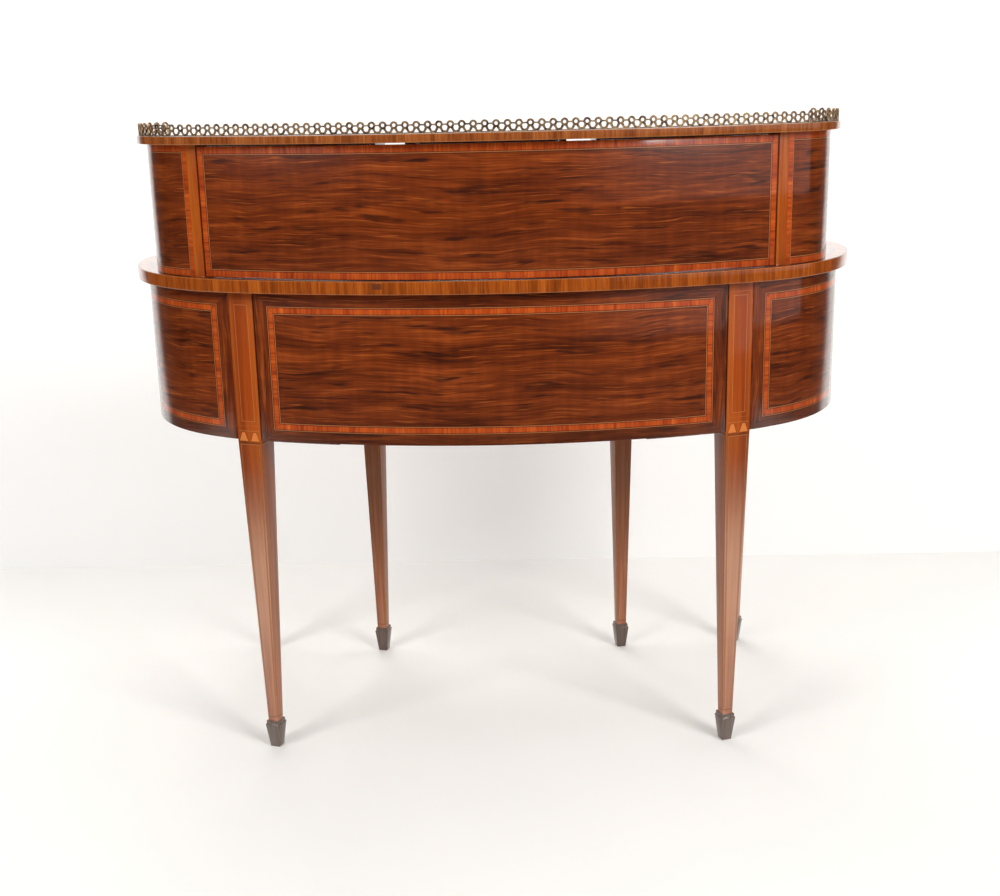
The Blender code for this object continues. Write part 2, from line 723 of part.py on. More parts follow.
top = prism("writing_top", lower.outline(0), board_low, WRITING_HEIGHT, EDGE_WOOD)
bed_low = WRITING_HEIGHT - LEATHER_THICKNESS
bed = prism("leather_bed_guide", leather_outline(GAP), bed_low, WRITING_HEIGHT + CUT_OVERRUN, EDGE_WOOD)
bed.hide_render = True
bed.display_type = "WIRE"
cut = top.modifiers.new("leather_bed", "BOOLEAN")
cut.operation = "DIFFERENCE"
cut.solver = "EXACT"
cut.object = bed
prism("leather_inset", leather_outline(0), bed_low + GAP, WRITING_HEIGHT, LEATHER)

# Superstructure walls
upper_face = UPPER_OVERHANG
upper_inner = upper_face + UPPER_PANEL_THICKNESS
upper_inside = upper_inner + GAP
pilaster = Post(upper, "back", upper.turn - PILASTER_BEFORE_END, PILASTER_WIDTH, upper_face)
half_outer = upper.run(upper_face, ("back", 0), upper.meet(pilaster, -1, JOINT_GAP, upper_face))
half_inner = upper.run(upper_inner, ("back", 0), upper.meet(pilaster, -1, JOINT_GAP, upper_inner))
prism("upper_back_panel", spread(half_outer) + spread(half_inner)[::-1], WRITING_HEIGHT + FOOT_SLIT,
      upper_top - TOP_SLIT, MAHOGANY)
corners = [pilaster.corner(out, side, 0) for out, side in ((1, -1), (1, 1), (-1, 1), (-1, -1))]
stile = prism("upper_pilaster_right", corners, upper_low, upper_high, STILE)
reflect(stile, "upper_pilaster_left")
band_outer = upper.run(upper_face, upper.meet(pilaster, 1, GAP, upper_face), ("lobe", math.pi))
band_inner = upper.run(upper_inner, upper.meet(pilaster, 1, GAP, upper_inner), ("lobe", math.pi))
side = prism("upper_side_panel_right", band_outer + band_inner[::-1], upper_low, upper_high, MAHOGANY)
reflect(side, "upper_side_panel_left")

# Dividers that part the centre, the letter slots and the side banks
half_divider = DIVIDER_THICKNESS / 2
for label, x in (("centre_divider", INNER_DIVIDER_X), ("slot_divider", OUTER_DIVIDER_X)):
    near, far = x - half_divider, x + half_divider
    inset = upper_face + DIVIDER_SETBACK
    outline = [upper.point(upper.back_at(edge, upper_inside), upper_inside) for edge in (near, far)]
    outline += [upper.point(upper.front_at(edge, inset), inset) for edge in (far, near)]
    board = prism(label + "_right", outline, upper_low, upper_high, STILE)
    reflect(board, label + "_left")

# Valance over the open centre
valance_x = INNER_DIVIDER_X - half_divider - GAP
valance_rear = upper_face + VALANCE_THICKNESS
half_front = upper.run(upper_face, upper.front_at(valance_x, upper_face), ("recess", 0))[::-1]
half_rear = upper.run(valance_rear, upper.front_at(valance_x, valance_rear), ("recess", 0))[::-1]
prism("centre_valance", spread(half_front) + spread(half_rear)[::-1], upper_top - VALANCE_HEIGHT,
      upper_high, MAHOGANY)

# Shelf of each side bank, with an open bay below it and a drawer above
bank_in = OUTER_DIVIDER_X + half_divider
bank_out = upper.arcs["lobe"][0].x
shelf_in, shelf_out = bank_in + GAP, bank_out - GAP
shelf_high = upper_top - UPPER_DRAWER_HEIGHT
shelf_low = shelf_high - SHELF_THICKNESS
outline = upper.run(upper_inside, upper.back_at(shelf_in, upper_inside),
                    upper.meet(pilaster, -1, GAP, upper_inside))
outline += [pilaster.corner(-1, -1, GAP), pilaster.corner(-1, 1, GAP)]
outline += upper.run(upper_inside, upper.meet(pilaster, 1, GAP, upper_inside),
                     upper.front_at(shelf_out, upper_inside))
outline += upper.run(upper_face, upper.front_at(shelf_out, upper_face), upper.front_at(shelf_in, upper_face))
shelf = prism("bank_shelf_right", outline, shelf_low, shelf_high, STILE)
reflect(shelf, "bank_shelf_left")

# Drawer of each side bank, with one turned knob
draw_in, draw_out = bank_in + REVEAL, bank_out - REVEAL
upper_back_face = upper_face + UPPER_FRONT_THICKNESS
tray_in, tray_out = bank_in + RUNNING_GAP, bank_out - UPPER_SIDE_ROOM
tray_back_out = pilaster.corner(-1, 1, 0).y - UPPER_BACK_ROOM
tray_back_in = upper.point(upper.back_at(tray_in, upper_inside), upper_inside).y - UPPER_BACK_ROOM
knob_x = (draw_in + draw_out) / 2
knob_point, _ = facing(upper, knob_x, upper_face)
knob_height = (shelf_high + upper_top) / 2
holders = {}
for hand, sign in (("right", 1), ("left", -1)):
    holders[hand] = slide("bank_drawer_slide_" + hand, (sign * knob_point.x, knob_point.y, knob_height))
    knob("bank_drawer_knob_" + hand, upper, sign * knob_x, knob_height, BRASS, holders[hand])
outline = upper.run(upper_face, upper.front_at(draw_out, upper_face), upper.front_at(draw_in, upper_face))
outline += upper.run(upper_back_face, upper.front_at(draw_out, upper_back_face),
                     upper.front_at(draw_in, upper_back_face))[::-1]
front = prism("bank_drawer_front_right", outline, shelf_high + REVEAL, upper_top - REVEAL, MAHOGANY,
              holders["right"])
reflect(front, "bank_drawer_front_left", holders["left"])
tray = lining("bank_drawer_lining_right", upper, upper_back_face + GAP, tray_out, tray_in, tray_back_out,
              tray_back_in, shelf_high + GAP, upper_top - LINING_DROP, UPPER_LINING_THICKNESS, LINING_WOOD,
              holders["right"])
reflect(tray, "bank_drawer_lining_left", holders["left"])

# Top board and its gallery
prism("top_board", upper.outline(0), upper_top, top_surface, EDGE_WOOD)
gallery("gallery", upper, top_surface + GAP, BRASS)
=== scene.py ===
import math

import bpy
from mathutils import Matrix, Vector


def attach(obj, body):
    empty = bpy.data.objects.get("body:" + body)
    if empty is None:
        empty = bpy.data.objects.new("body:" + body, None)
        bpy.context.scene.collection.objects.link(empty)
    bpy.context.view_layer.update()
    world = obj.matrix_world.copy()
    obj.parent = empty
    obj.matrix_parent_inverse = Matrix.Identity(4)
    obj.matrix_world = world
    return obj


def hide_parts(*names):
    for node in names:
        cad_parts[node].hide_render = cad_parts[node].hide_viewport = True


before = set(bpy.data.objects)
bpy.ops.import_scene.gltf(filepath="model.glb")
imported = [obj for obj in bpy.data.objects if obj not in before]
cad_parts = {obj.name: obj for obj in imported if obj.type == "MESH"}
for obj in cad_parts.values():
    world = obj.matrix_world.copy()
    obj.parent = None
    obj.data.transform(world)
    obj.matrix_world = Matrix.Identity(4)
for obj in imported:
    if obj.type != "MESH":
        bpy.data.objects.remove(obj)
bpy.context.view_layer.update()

# Six legs, each one square mahogany post from the floor to the underside of the writing top: a spade foot, a
# collar, a taper and a straight stile. A leg faces the curve that it stands on, pale strings are let into its
# faces, and the carcass is glued between the stiles.


class Kidney:
    """A kidney plan of tangent arcs: angles run clockwise from +Y, from the middle of the back."""

    order = ("back", "end", "lobe", "recess")

    def __init__(self, width, back, end, lobe, recess, back_y):
        half = width / 2
        turn = math.asin((half - end) / (back - end))
        wide_y = back_y - back + (back - end) * math.cos(turn)
        hollow = math.asin((half - lobe) / (recess + lobe))
        self.turn, self.hollow = turn, hollow
        self.arcs = {
            "back": (Vector((0, back_y - back)), back, -1, 0, turn),
            "end": (Vector((half - end, wide_y)), end, -1, turn, math.pi / 2),
            "lobe": (Vector((half - lobe, wide_y)), lobe, -1, math.pi / 2, math.pi + hollow),
            "recess": (Vector((0, wide_y - (recess + lobe) * math.cos(hollow))), recess, 1, hollow, 0),
        }

    def radius(self, arc, inset):
        return self.arcs[arc][1] + self.arcs[arc][2] * inset

    def point(self, place, inset):
        arc, angle = place
        return self.arcs[arc][0] + self.radius(arc, inset) * Vector((math.sin(angle), math.cos(angle)))

    def meet(self, post, side, clearance, inset):
        """Place nearest to a post where the inset outline crosses one of its sides."""
        found = []
        for arc, (centre, _, _, low, high) in self.arcs.items():
            offset = side * (post.width / 2 + clearance) - (centre - post.centre).dot(post.along)
            lean = math.asin(max(-1, min(1, offset / self.radius(arc, inset))))
            for swing in (lean, math.pi - lean):
                angle = (post.angle + swing) % math.tau
                if min(low, high) <= angle <= max(low, high):
                    found.append(((self.point((arc, angle), inset) - post.centre).length, arc, angle))
        return min(found)[1:]

    def front_at(self, x, inset):
        """Place on the inset front at this distance from the middle of the desk."""
        angle = math.asin(x / self.radius("recess", inset))
        if angle <= self.hollow:
            return "recess", angle
        return "lobe", math.pi - math.asin((x - self.arcs["lobe"][0].x) / self.radius("lobe", inset))

    def unroll(self, x, y, inset):
        """Distance run along the inset outline, from the middle of the back, of the place nearest to x, y."""
        best, gone = None, 0
        for arc in self.order:
            centre, _, _, low, high = self.arcs[arc]
            reach = self.radius(arc, inset)
            angle = math.atan2(abs(x) - centre.x, y - centre.y) % math.tau
            angle = min(max(angle, min(low, high)), max(low, high)) if angle < 3.9 else min(low, high)
            miss = (Vector((abs(x), y)) - self.point((arc, angle), inset)).length
            if best is None or miss < best[0] - 1e-6:
                best = (miss, gone + reach * abs(angle - low))
            gone += reach * abs(high - low)
        return math.copysign(best[1], x)


class Post:
    """The plan of a square upright on one of the arcs."""

    def __init__(self, plan, arc, angle, width, inset):
        centre, _, sign, _, _ = plan.arcs[arc]
        self.angle, self.width = angle, width
        radial = Vector((math.sin(angle), math.cos(angle)))
        self.along = Vector((math.cos(angle), -math.sin(angle)))
        self.outward = radial * -sign
        self.centre = centre + radial * (plan.radius(arc, inset) + sign * width / 2)

    def corner(self, out, side):
        """Plan corner: out is 1 on the show face and -1 inside, side is 1 clockwise and -1 the other way."""
        half = self.width / 2
        return self.centre + self.outward * (out * half) + self.along * (side * half)

    def placed(self):
        """Turns a piece that faces +Y to face the curve, and carries it to its place."""
        turn = math.atan2(-self.outward.x, self.outward.y)
        return Matrix.Translation((*self.centre, 0)) @ Matrix.Rotation(turn, 4, "Z")


lower = Kidney(1.176, 1.180, 0.291, 0.216, 0.934, 0.273039)
face, panel = 0.017, 0.018
board_low, carcass_low, carcass_high = 0.758, 0.528, 0.7577
back_leg = Post(lower, "back", lower.turn - math.radians(0.6258), 0.0405, face)
outer_leg = Post(lower, "lobe", math.pi - math.radians(25.2), 0.0370, face)
kneehole_leg = Post(lower, "recess", 0.7206 * lower.hollow, 0.0370, face)

trees = []


class Field:
    """A value that changes over a surface. What is worked out from it becomes nodes of the last of the trees."""

    def __init__(self, socket):
        self.socket = socket

    def __add__(self, other):
        return maths("ADD", self, other)

    def __sub__(self, other):
        return maths("SUBTRACT", self, other)

    def __rsub__(self, other):
        return maths("SUBTRACT", other, self)

    def __mul__(self, other):
        return maths("MULTIPLY", self, other)

    def __lt__(self, other):
        return maths("LESS_THAN", self, other)

    def __gt__(self, other):
        return maths("GREATER_THAN", self, other)

    def __abs__(self):
        return maths("ABSOLUTE", self)


def fill(made, sockets):
    """Joins or sets the sockets of a node."""
    for key, value in dict(sockets).items():
        socket = made.inputs[key]
        if isinstance(value, Field):
            trees[-1].links.new(value.socket, socket)
        else:
            socket.default_value = (*value, 1) if socket.type == "RGBA" else value


def outs(kind, sockets=(), **settings):
    """Adds a node, sets it up, and gives back all that it puts out."""
    made = trees[-1].nodes.new("ShaderNode" + kind)
    for key, value in settings.items():
        setattr(made, key, value)
    fill(made, sockets)
    return {name: Field(socket) for name, socket in (*enumerate(made.outputs), *made.outputs.items())}


def out(kind, sockets=(), which=0, **settings):
    return outs(kind, sockets, **settings)[which]


def maths(operation, *values, clamp=False):
    return out("Math", enumerate(values), operation=operation, use_clamp=clamp)


def least(first, second):
    return maths("MINIMUM", first, second)


def most(first, second):
    return maths("MAXIMUM", first, second)


def within(value, low, high):
    """1 where the value lies between the two limits."""
    return (value > low) * (value < high)


def eased(value, low, high, first=0.0, last=1.0):
    """Runs from first to last while the value runs from low to high."""
    return out("MapRange", {"Value": value, "From Min": low, "From Max": high, "To Min": first, "To Max": last})


def above(value, low, gain):
    """How far the value lies above a level, enlarged and kept between 0 and 1."""
    return maths("MULTIPLY", maths("SUBTRACT", value, low, clamp=True), gain, clamp=True)


def chosen(factor, first, second):
    return out("Mix", {0: factor, 2: first, 3: second}, data_type="FLOAT")


def mixed(factor, first, second):
    return out("Mix", {0: factor, 6: first, 7: second}, 2, data_type="RGBA")


def split(vector):
    made = outs("SeparateXYZ", {0: vector})
    return made[0], made[1], made[2]


def joined(x, y, z=0.0):
    return out("CombineXYZ", {0: x, 1: y, 2: z})


def noise(place, scale, detail=2.0, **more):
    return out("TexNoise", {"Vector": place, "Scale": scale, "Detail": detail, **more}, "Fac")


def clouds(place, rates, detail=2.0, **more):
    """Noise stretched by its own rate along each axis."""
    return noise(out("VectorMath", {0: place, 1: rates}, operation="MULTIPLY"), 1.0, detail, **more)


def ramp(factor, *stops):
    """A colour ramp from pairs of place and colour."""
    made = trees[-1].nodes.new("ShaderNodeValToRGB")
    fill(made, {"Fac": factor})
    for index, (place, colour) in enumerate(stops):
        element = made.color_ramp.elements[index] if index < 2 else made.color_ramp.elements.new(place)
        element.position = place
        element.color = (*colour, 1)
    return Field(made.outputs[0])


def halfway(first, second):
    return tuple((low + high) / 2 for low, high in zip(first, second))


def grouped(name, inputs, build):
    """A node group: build takes the fields of the inputs and gives back the outputs by name."""
    tree = bpy.data.node_groups.new(name, "ShaderNodeTree")
    for label in inputs:
        tree.interface.new_socket(label, in_out="INPUT",
                                  socket_type="NodeSocketVector" if label == "Place" else "NodeSocketFloat")
    trees.append(tree)
    given = tree.nodes.new("NodeGroupInput").outputs
    results = build(*(Field(given[label]) for label in inputs))
    for label, value in results.items():
        kind = "NodeSocketVector" if value.socket.type == "VECTOR" else "NodeSocketFloat"
        tree.interface.new_socket(label, in_out="OUTPUT", socket_type=kind)
    fill(tree.nodes.new("NodeGroupOutput"), results)
    trees.pop()
    return tree


def wood_grain(place, along, across):
    """Streaks, fibres and open pores of sawn wood, with X along the grain and Y across it, in metres."""
    place = out("VectorMath", {0: place, 1: joined(along, across, 1.0)}, operation="MULTIPLY")
    streaks = noise(place, 1.0, 5.0, Roughness=0.6, Distortion=0.9)
    patches = noise(place, 0.23, 2.0, Roughness=0.5, Distortion=0.4)
    return {"Figure": streaks * 0.55 + patches * 0.45, "Fibre": clouds(place, (3.0, 11.0, 1.0), 3.0, Roughness=0.7),
            "Pores": clouds(place, (7.0, 30.0, 1.0), 1.0)}


grain_group = grouped("wood_grain", ("Place", "Along", "Across"), wood_grain)


def grain(place, along, across):
    return outs("Group", {"Place": place, "Along": along, "Across": across}, node_tree=grain_group)


def finish(name):
    """A new material, whose tree is the last one now, and its shader."""
    material = bpy.data.materials.new(name)
    material.use_nodes = True
    trees.append(material.node_tree)
    return material, material.node_tree.nodes["Principled BSDF"]


def relief(height, strength, distance):
    return out("Bump", {"Height": height, "Strength": strength, "Distance": distance})


def polished(name, colour_of, roughness=0.32, coat=0.9, specular=0.15, bump=0.03):
    """French-polished wood: colour_of gives its colour, fibres and pores, and how much polish it keeps."""
    material, shader = finish(name)
    colour, fibre, pores, *kept = colour_of()
    fill(shader, {"Base Color": colour, "Roughness": eased(fibre, 0.0, 1.0, roughness - 0.07, roughness + 0.12),
                  "Specular IOR Level": specular, "Coat Weight": kept[0] if kept else coat, "Coat Roughness": 0.09,
                  "Normal": relief(fibre * 0.6 + pores * 0.4, bump, 0.001)})
    return material


def surface_place():
    """The unwrapped place on a show face, in metres: X along the run and Y up."""
    return out("UVMap", uv_map="run")


string_yellow, line_brown = (0.44, 0.18, 0.055), (0.045, 0.012, 0.005)


def leg_colour(width):
    """Straight brown grain, a string panel on every face, and the stile's frames and drops on the show face."""
    frame_low, frame_high, frame_share = 0.557, 0.7375, 0.535

    def build():
        run, height, _ = split(surface_place())
        side = maths("ROUND", run)
        across = abs(run - side)
        half = eased(height, 0.0476, carcass_low, 0.0087, width / 2)
        turned = joined(height, run, side)
        fibres = grain(turned, 3.0, 95.0)
        wood = ramp(fibres["Figure"], (0.34, (0.200, 0.064, 0.030)), (0.46, (0.330, 0.120, 0.058)),
                    (0.54, (0.400, 0.160, 0.085)), (0.66, (0.480, 0.225, 0.130)))
        wood = mixed(above(fibres["Fibre"], 0.45, 1.6), wood, (0.10, 0.028, 0.012))
        stile = ramp(fibres["Figure"], (0.34, (0.215, 0.032, 0.002)), (0.50, (0.345, 0.062, 0.004)),
                     (0.66, (0.47, 0.105, 0.009)))
        wood = mixed(eased(height, 0.36, 0.50), wood, stile)
        front = abs(side) < 0.5
        # Painted reflection: a pale bloom on the show face, about 0.05 to 0.48 m up, stands in for the glare of the
        # bright floor in the polish.
        painted_floor_glare = eased(height, 0.05, 0.24) * eased(height, 0.48, 0.32) * (front * 0.55)
        wood = mixed(painted_floor_glare, wood, (0.60, 0.340, 0.225))
        # Painted shade: the faces other than the show face darken towards the top, where the carcass shades them.
        wood = mixed((1.0 - front) * eased(height, 0.10, 0.50, 0.0, 0.6), wood, (0.130, 0.048, 0.024))
        # Painted shade: a darker band just below the carcass, where its shadow falls on the leg.
        carcass_shade = eased(height, 0.36, 0.45) * eased(height, 0.528, 0.518)
        wood = mixed(carcass_shade * 0.26, wood, (0.130, 0.042, 0.020))
        rim = half - across

        def lines(share, low, high, wide):
            """Outline of a long panel whose sides keep to a share of the half width."""
            reach = half * share
            upright = (abs(across - reach) < wide) * within(height, low, high)
            level = least(abs(height - low), abs(height - high))
            return most(upright, (level < wide) * (across < reach + wide))

        rule = within(height, 0.5411, 0.5419) * (rim > 0.0024)
        drop, flare = abs(across - 0.0098), (0.539 - height) * 0.36
        drops = (drop < flare + 0.0024) * within(height, 0.5255, 0.539)
        drop_edge = (drop < flare + 0.0032) * within(height, 0.5248, 0.5396)
        strings = most(lines(0.79, 0.056, 0.520, 0.00055),
                       front * most(lines(frame_share, frame_low, frame_high, 0.00042), rule))
        shades = most(lines(0.79, 0.0548, 0.5214, 0.00115), front * most(within(height, 0.5228, 0.5240), drop_edge))
        field = front * (across < half * frame_share) * within(height, frame_low, frame_high)
        wood = mixed(field * 0.35, wood, (0.26, 0.034, 0.002))
        wood = mixed(front * lines(0.83, 0.5495, 0.7435, 0.00034) * 0.35, wood, string_yellow)
        wood = mixed(shades * 0.55, wood, line_brown)
        wood = mixed(strings * 0.72, wood, string_yellow)
        wood = mixed(front * drops, wood, (0.62, 0.185, 0.040))
        foot = height < 0.0472
        wood = mixed(foot, wood, ramp(fibres["Fibre"], (0.30, (0.045, 0.029, 0.022)), (0.70, (0.190, 0.136, 0.110))))
        worn = (noise(turned, 60.0, 3.0) > 0.62) * (rim < 0.0008) * ((1.0 - foot) * 0.5)
        dull = eased(front, 0.0, 1.0, 0.25, 0.9)
        return mixed(worn, wood, (0.36, 0.20, 0.12)), fibres["Fibre"], fibres["Pores"], dull

    return build


def mode(kind):
    bpy.ops.object.mode_set(mode=kind)


def picked(*pieces):
    """Selects these pieces alone and makes the first the active one."""
    bpy.ops.object.select_all(action="DESELECT")
    for piece in pieces:
        piece.select_set(True)
    bpy.context.view_layer.objects.active = pieces[0]


def begun(name, size):
    """A square plane to shape a piece from, open in edit mode."""
    bpy.ops.object.select_all(action="DESELECT")
    bpy.ops.mesh.primitive_plane_add(size=size)
    piece = bpy.context.object
    piece.name = piece.data.name = name
    mode("EDIT")
    return piece


def closed(doubles=0):
    """Merges doubled points, turns all faces outwards and leaves edit mode."""
    bpy.ops.mesh.select_all(action="SELECT")
    if doubles:
        bpy.ops.mesh.remove_doubles(threshold=doubles)
    bpy.ops.mesh.normals_make_consistent(inside=False)
    mode("OBJECT")


def applied(piece, kind, **settings):
    """Adds a modifier to the active piece and applies it."""
    modifier = piece.modifiers.new(kind.lower(), kind)
    for key, value in settings.items():
        setattr(modifier, key, value)
    bpy.ops.object.modifier_apply(modifier=modifier.name)


def soften(piece, width, segments, angle=30):
    """Rounds the sharp edges of a piece and shades the rest of it smooth."""
    picked(piece)
    applied(piece, "BEVEL", width=width, segments=segments, limit_method="ANGLE", angle_limit=math.radians(angle))
    bpy.ops.object.shade_smooth_by_angle(angle=math.radians(angle))


def carved_leg(name, width):
    """One leg at the origin, facing +Y, raised level by level from the base of its spade foot."""
    levels = [(0, 0.0162), (0.0405, 0.0252), (0.0418, 0.0224), (0.0466, 0.0224), (0.0476, 0.0174),
              (carcass_low, width), (carcass_high, width)]
    piece = begun(name, levels[0][1])
    for (low, before), (high, after) in zip(levels, levels[1:]):
        bpy.ops.mesh.extrude_region_move(TRANSFORM_OT_translate={"value": (0, 0, high - low)})
        bpy.ops.transform.resize(value=(after / before, after / before, 1))
    closed()
    soften(piece, 0.0006, 2)
    layer = piece.data.uv_layers.new(name="run")
    for polygon in piece.data.polygons:
        out_x, out_y, _ = polygon.normal
        for index in polygon.loop_indices:
            spot = piece.data.vertices[piece.data.loops[index].vertex_index].co
            if abs(out_y) >= abs(out_x):
                layer.data[index].uv = (spot.x + (0 if out_y > 0 else 2), spot.z)
            else:
                layer.data[index].uv = (spot.y + (1 if out_x > 0 else 3), spot.z)
    return piece


def copied(piece, name):
    """A second piece with its own mesh."""
    other = piece.copy()
    other.data = piece.data.copy()
    other.name = other.data.name = name
    bpy.context.scene.collection.objects.link(other)
    return other


def twin(piece):
    """The left-hand piece of a right-hand one."""
    other = copied(piece, piece.name.replace("right", "left"))
    other.data.transform(Matrix.Diagonal((-1, 1, 1, 1)))
    other.data.flip_normals()
    return other


def dress(piece, material, body, node):
    """Gives a finished piece its material and its body, and hides the CAD node that it stands for."""
    piece.data.materials.clear()
    piece.data.materials.append(material)
    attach(piece, body)
    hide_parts(node)


back_leg_wood = polished("strung_back_leg", leg_colour(back_leg.width))
front_leg_wood = polished("strung_front_leg", leg_colour(outer_leg.width))
for label, post, wood in (("back_leg", back_leg, back_leg_wood), ("outer_front_leg", outer_leg, front_leg_wood),
                          ("kneehole_leg", kneehole_leg, front_leg_wood)):
    leg = carved_leg(label + "_right_post", post.width)
    leg.data.transform(post.placed())
    for piece, hand in ((leg, "_right"), (twin(leg), "_left")):
        dress(piece, wood, "desk", label + hand)

# Lower back panel and side panels, which face the carcass: bowed boards under dark figured mahogany veneer,
# each with a frame of orange cross-banding between pale strings. The back panel stands a narrow open joint
# away from the leg stiles, and the side panels are glued to theirs.


def arc_moves(plan, inset, start, stop):
    """The spins that follow the inset outline from one place on it to another."""
    first, last = plan.order.index(start[0]), plan.order.index(stop[0])
    step = 1 if first <= last else -1
    moves = []
    for arc in plan.order[first::step]:
        centre, _, _, low, high = plan.arcs[arc]
        begin, end = (low, high) if step > 0 else (high, low)
        begin = start[1] if arc == start[0] else begin
        end = stop[1] if arc == stop[0] else end
        steps = max(2, math.ceil(abs(end - begin) / math.sqrt(0.00008 / plan.radius(arc, inset))))
        if abs(end - begin) > 1e-6:
            moves.append((centre, end - begin, steps))
        if arc == stop[0]:
            return moves


def begun_at(name, start):
    """A piece that is one point as yet, open in edit mode."""
    piece = begun(name, 0.01)
    bpy.ops.mesh.select_mode(type="VERT")
    bpy.ops.mesh.merge(type="CENTER")
    bpy.ops.transform.translate(value=start)
    return piece


def outline(name, start, moves, halved=False):
    """Draws a closed plan outline: a move is a straight one to a point, or a spin about a centre."""
    piece = begun_at(name, start.to_3d())
    place = start.copy()
    for move in moves:
        if isinstance(move, Vector):
            bpy.ops.mesh.extrude_vertices_move(TRANSFORM_OT_translate={"value": (move - place).to_3d()})
            place = move.copy()
        else:
            centre, angle, steps = move
            bpy.ops.mesh.spin(steps=steps, angle=angle, center=(*centre, 0), axis=(0, 0, 1))
            arm = place - centre
            swung = math.atan2(arm.x, arm.y) + angle
            place = centre + arm.length * Vector((math.sin(swung), math.cos(swung)))
    mode("OBJECT")
    if halved:
        applied(piece, "MIRROR", merge_threshold=0.00002)
    return piece


def raised(piece, low, high, arris, segments=2):
    """Fills a plan outline at one height, raises it to another and rounds its edges."""
    mode("EDIT")
    bpy.ops.mesh.select_all(action="SELECT")
    bpy.ops.mesh.remove_doubles(threshold=0.00002)
    bpy.ops.mesh.edge_face_add()
    bpy.ops.transform.translate(value=(0, 0, low))
    bpy.ops.mesh.extrude_region_move(TRANSFORM_OT_translate={"value": (0, 0, high - low)})
    closed()
    soften(piece, arris, segments, 25)
    return piece


def unwrapped(piece, plan, inset, from_front=False):
    """Lays the run along the outline, from the middle of the back or front, and the height out as a map."""
    layer = piece.data.uv_layers.get("run") or piece.data.uv_layers.new(name="run")
    whole = sum(plan.radius(arc, inset) * abs(plan.arcs[arc][4] - plan.arcs[arc][3]) for arc in plan.order)
    runs = [plan.unroll(vertex.co.x, vertex.co.y, inset) for vertex in piece.data.vertices]
    if from_front:
        runs = [math.copysign(whole - abs(run), run) for run in runs]
    for loop in piece.data.loops:
        layer.data[loop.index].uv = (runs[loop.vertex_index], piece.data.vertices[loop.vertex_index].co.z)
    return piece


def bowed(name, plan, outer, inner, ends, low, high, arris=0.0005, halved=False, from_front=False):
    """A curved board: its ends are two places on the outer face and then two on the inner one."""
    begin, end, end_in, begin_in = ends
    piece = outline(name, plan.point(begin, outer), arc_moves(plan, outer, begin, end) + [plan.point(end_in, inner)]
                    + arc_moves(plan, inner, end_in, begin_in), halved)
    return unwrapped(raised(piece, low, high, arris), plan, outer, from_front)


def fitted(plan, first, last, clearance, outer, inner):
    """The ends of a board that stands this clear of two sides of posts."""
    return [plan.meet(*side, clearance, inset)
            for side, inset in ((first, outer), (last, outer), (last, inner), (first, inner))]


def inlaid_frame(place, left, right, bottom, top, width, string):
    """A cross-banded frame between strings: the rectangle is its outer edge, on the unwrapped place."""
    x, y, _ = split(place)
    wide, tall = least(x - left, right - x), least(y - bottom, top - y)
    deep, upright = least(wide, tall), wide < tall
    half = string * 0.5
    near = least(abs(deep - half), abs(width - half - deep))
    return {"Band": within(deep, 0.0, width), "Strings": near < half, "Lines": within(near, half, string * 1.9),
            "Bars": joined(deep, chosen(upright, x, y), upright)}


frame_group = grouped("inlaid_frame", ("Place", "Left", "Right", "Bottom", "Top", "Width", "String"), inlaid_frame)


def cross_banding(bars):
    """Orange cross-grain veneer: short bars, each laid with its grain across the band."""
    colour = ramp(grain(bars, 18.0, 240.0)["Figure"], (0.36, (0.225, 0.026, 0.001)), (0.45, (0.370, 0.048, 0.003)),
                  (0.55, (0.50, 0.080, 0.006)), (0.66, (0.62, 0.130, 0.016)))
    cell = split(bars)[1] * 62.0 + noise(bars, 30.0, 0.0)
    tone = out("TexWhiteNoise", {"W": maths("FLOOR", cell)}, noise_dimensions="1D")
    colour = mixed(tone * 0.42, colour, (0.30, 0.034, 0.003))
    return mixed((maths("FRACT", cell) < 0.05) * 0.5, colour, (0.12, 0.025, 0.006))


def figured_veneer(place):
    """Tone, dark lenses, bright flecks and fibres of sliced mahogany, with X along its wavy grain, in metres."""
    wander = clouds(place, (5.0, 8.0, 1.0)) * 0.026 + clouds(place, (21.0, 46.0, 1.0)) * 0.0040
    waved = out("VectorMath", {0: place, 1: joined(0.0, wander)}, operation="ADD")
    fibres = clouds(waved, (14.0, 560.0, 1.0), 3.0)
    tone = fibres * 0.30
    for rates, share in (((9.0, 190.0, 2.0), 0.29), ((3.4, 38.0, 3.0), 0.31), ((75.0, 12.0, 4.0), 0.10)):
        tone = tone + clouds(waved, rates) * share
    return {"Tone": tone, "Lens": eased(clouds(waved, (13.0, 125.0, 5.0)), 0.57, 0.70),
            "Fleck": eased(clouds(waved, (17.0, 400.0, 6.0)), 0.60, 0.72), "Fibre": fibres}


figure_group = grouped("figured_veneer", ("Place",), figured_veneer)


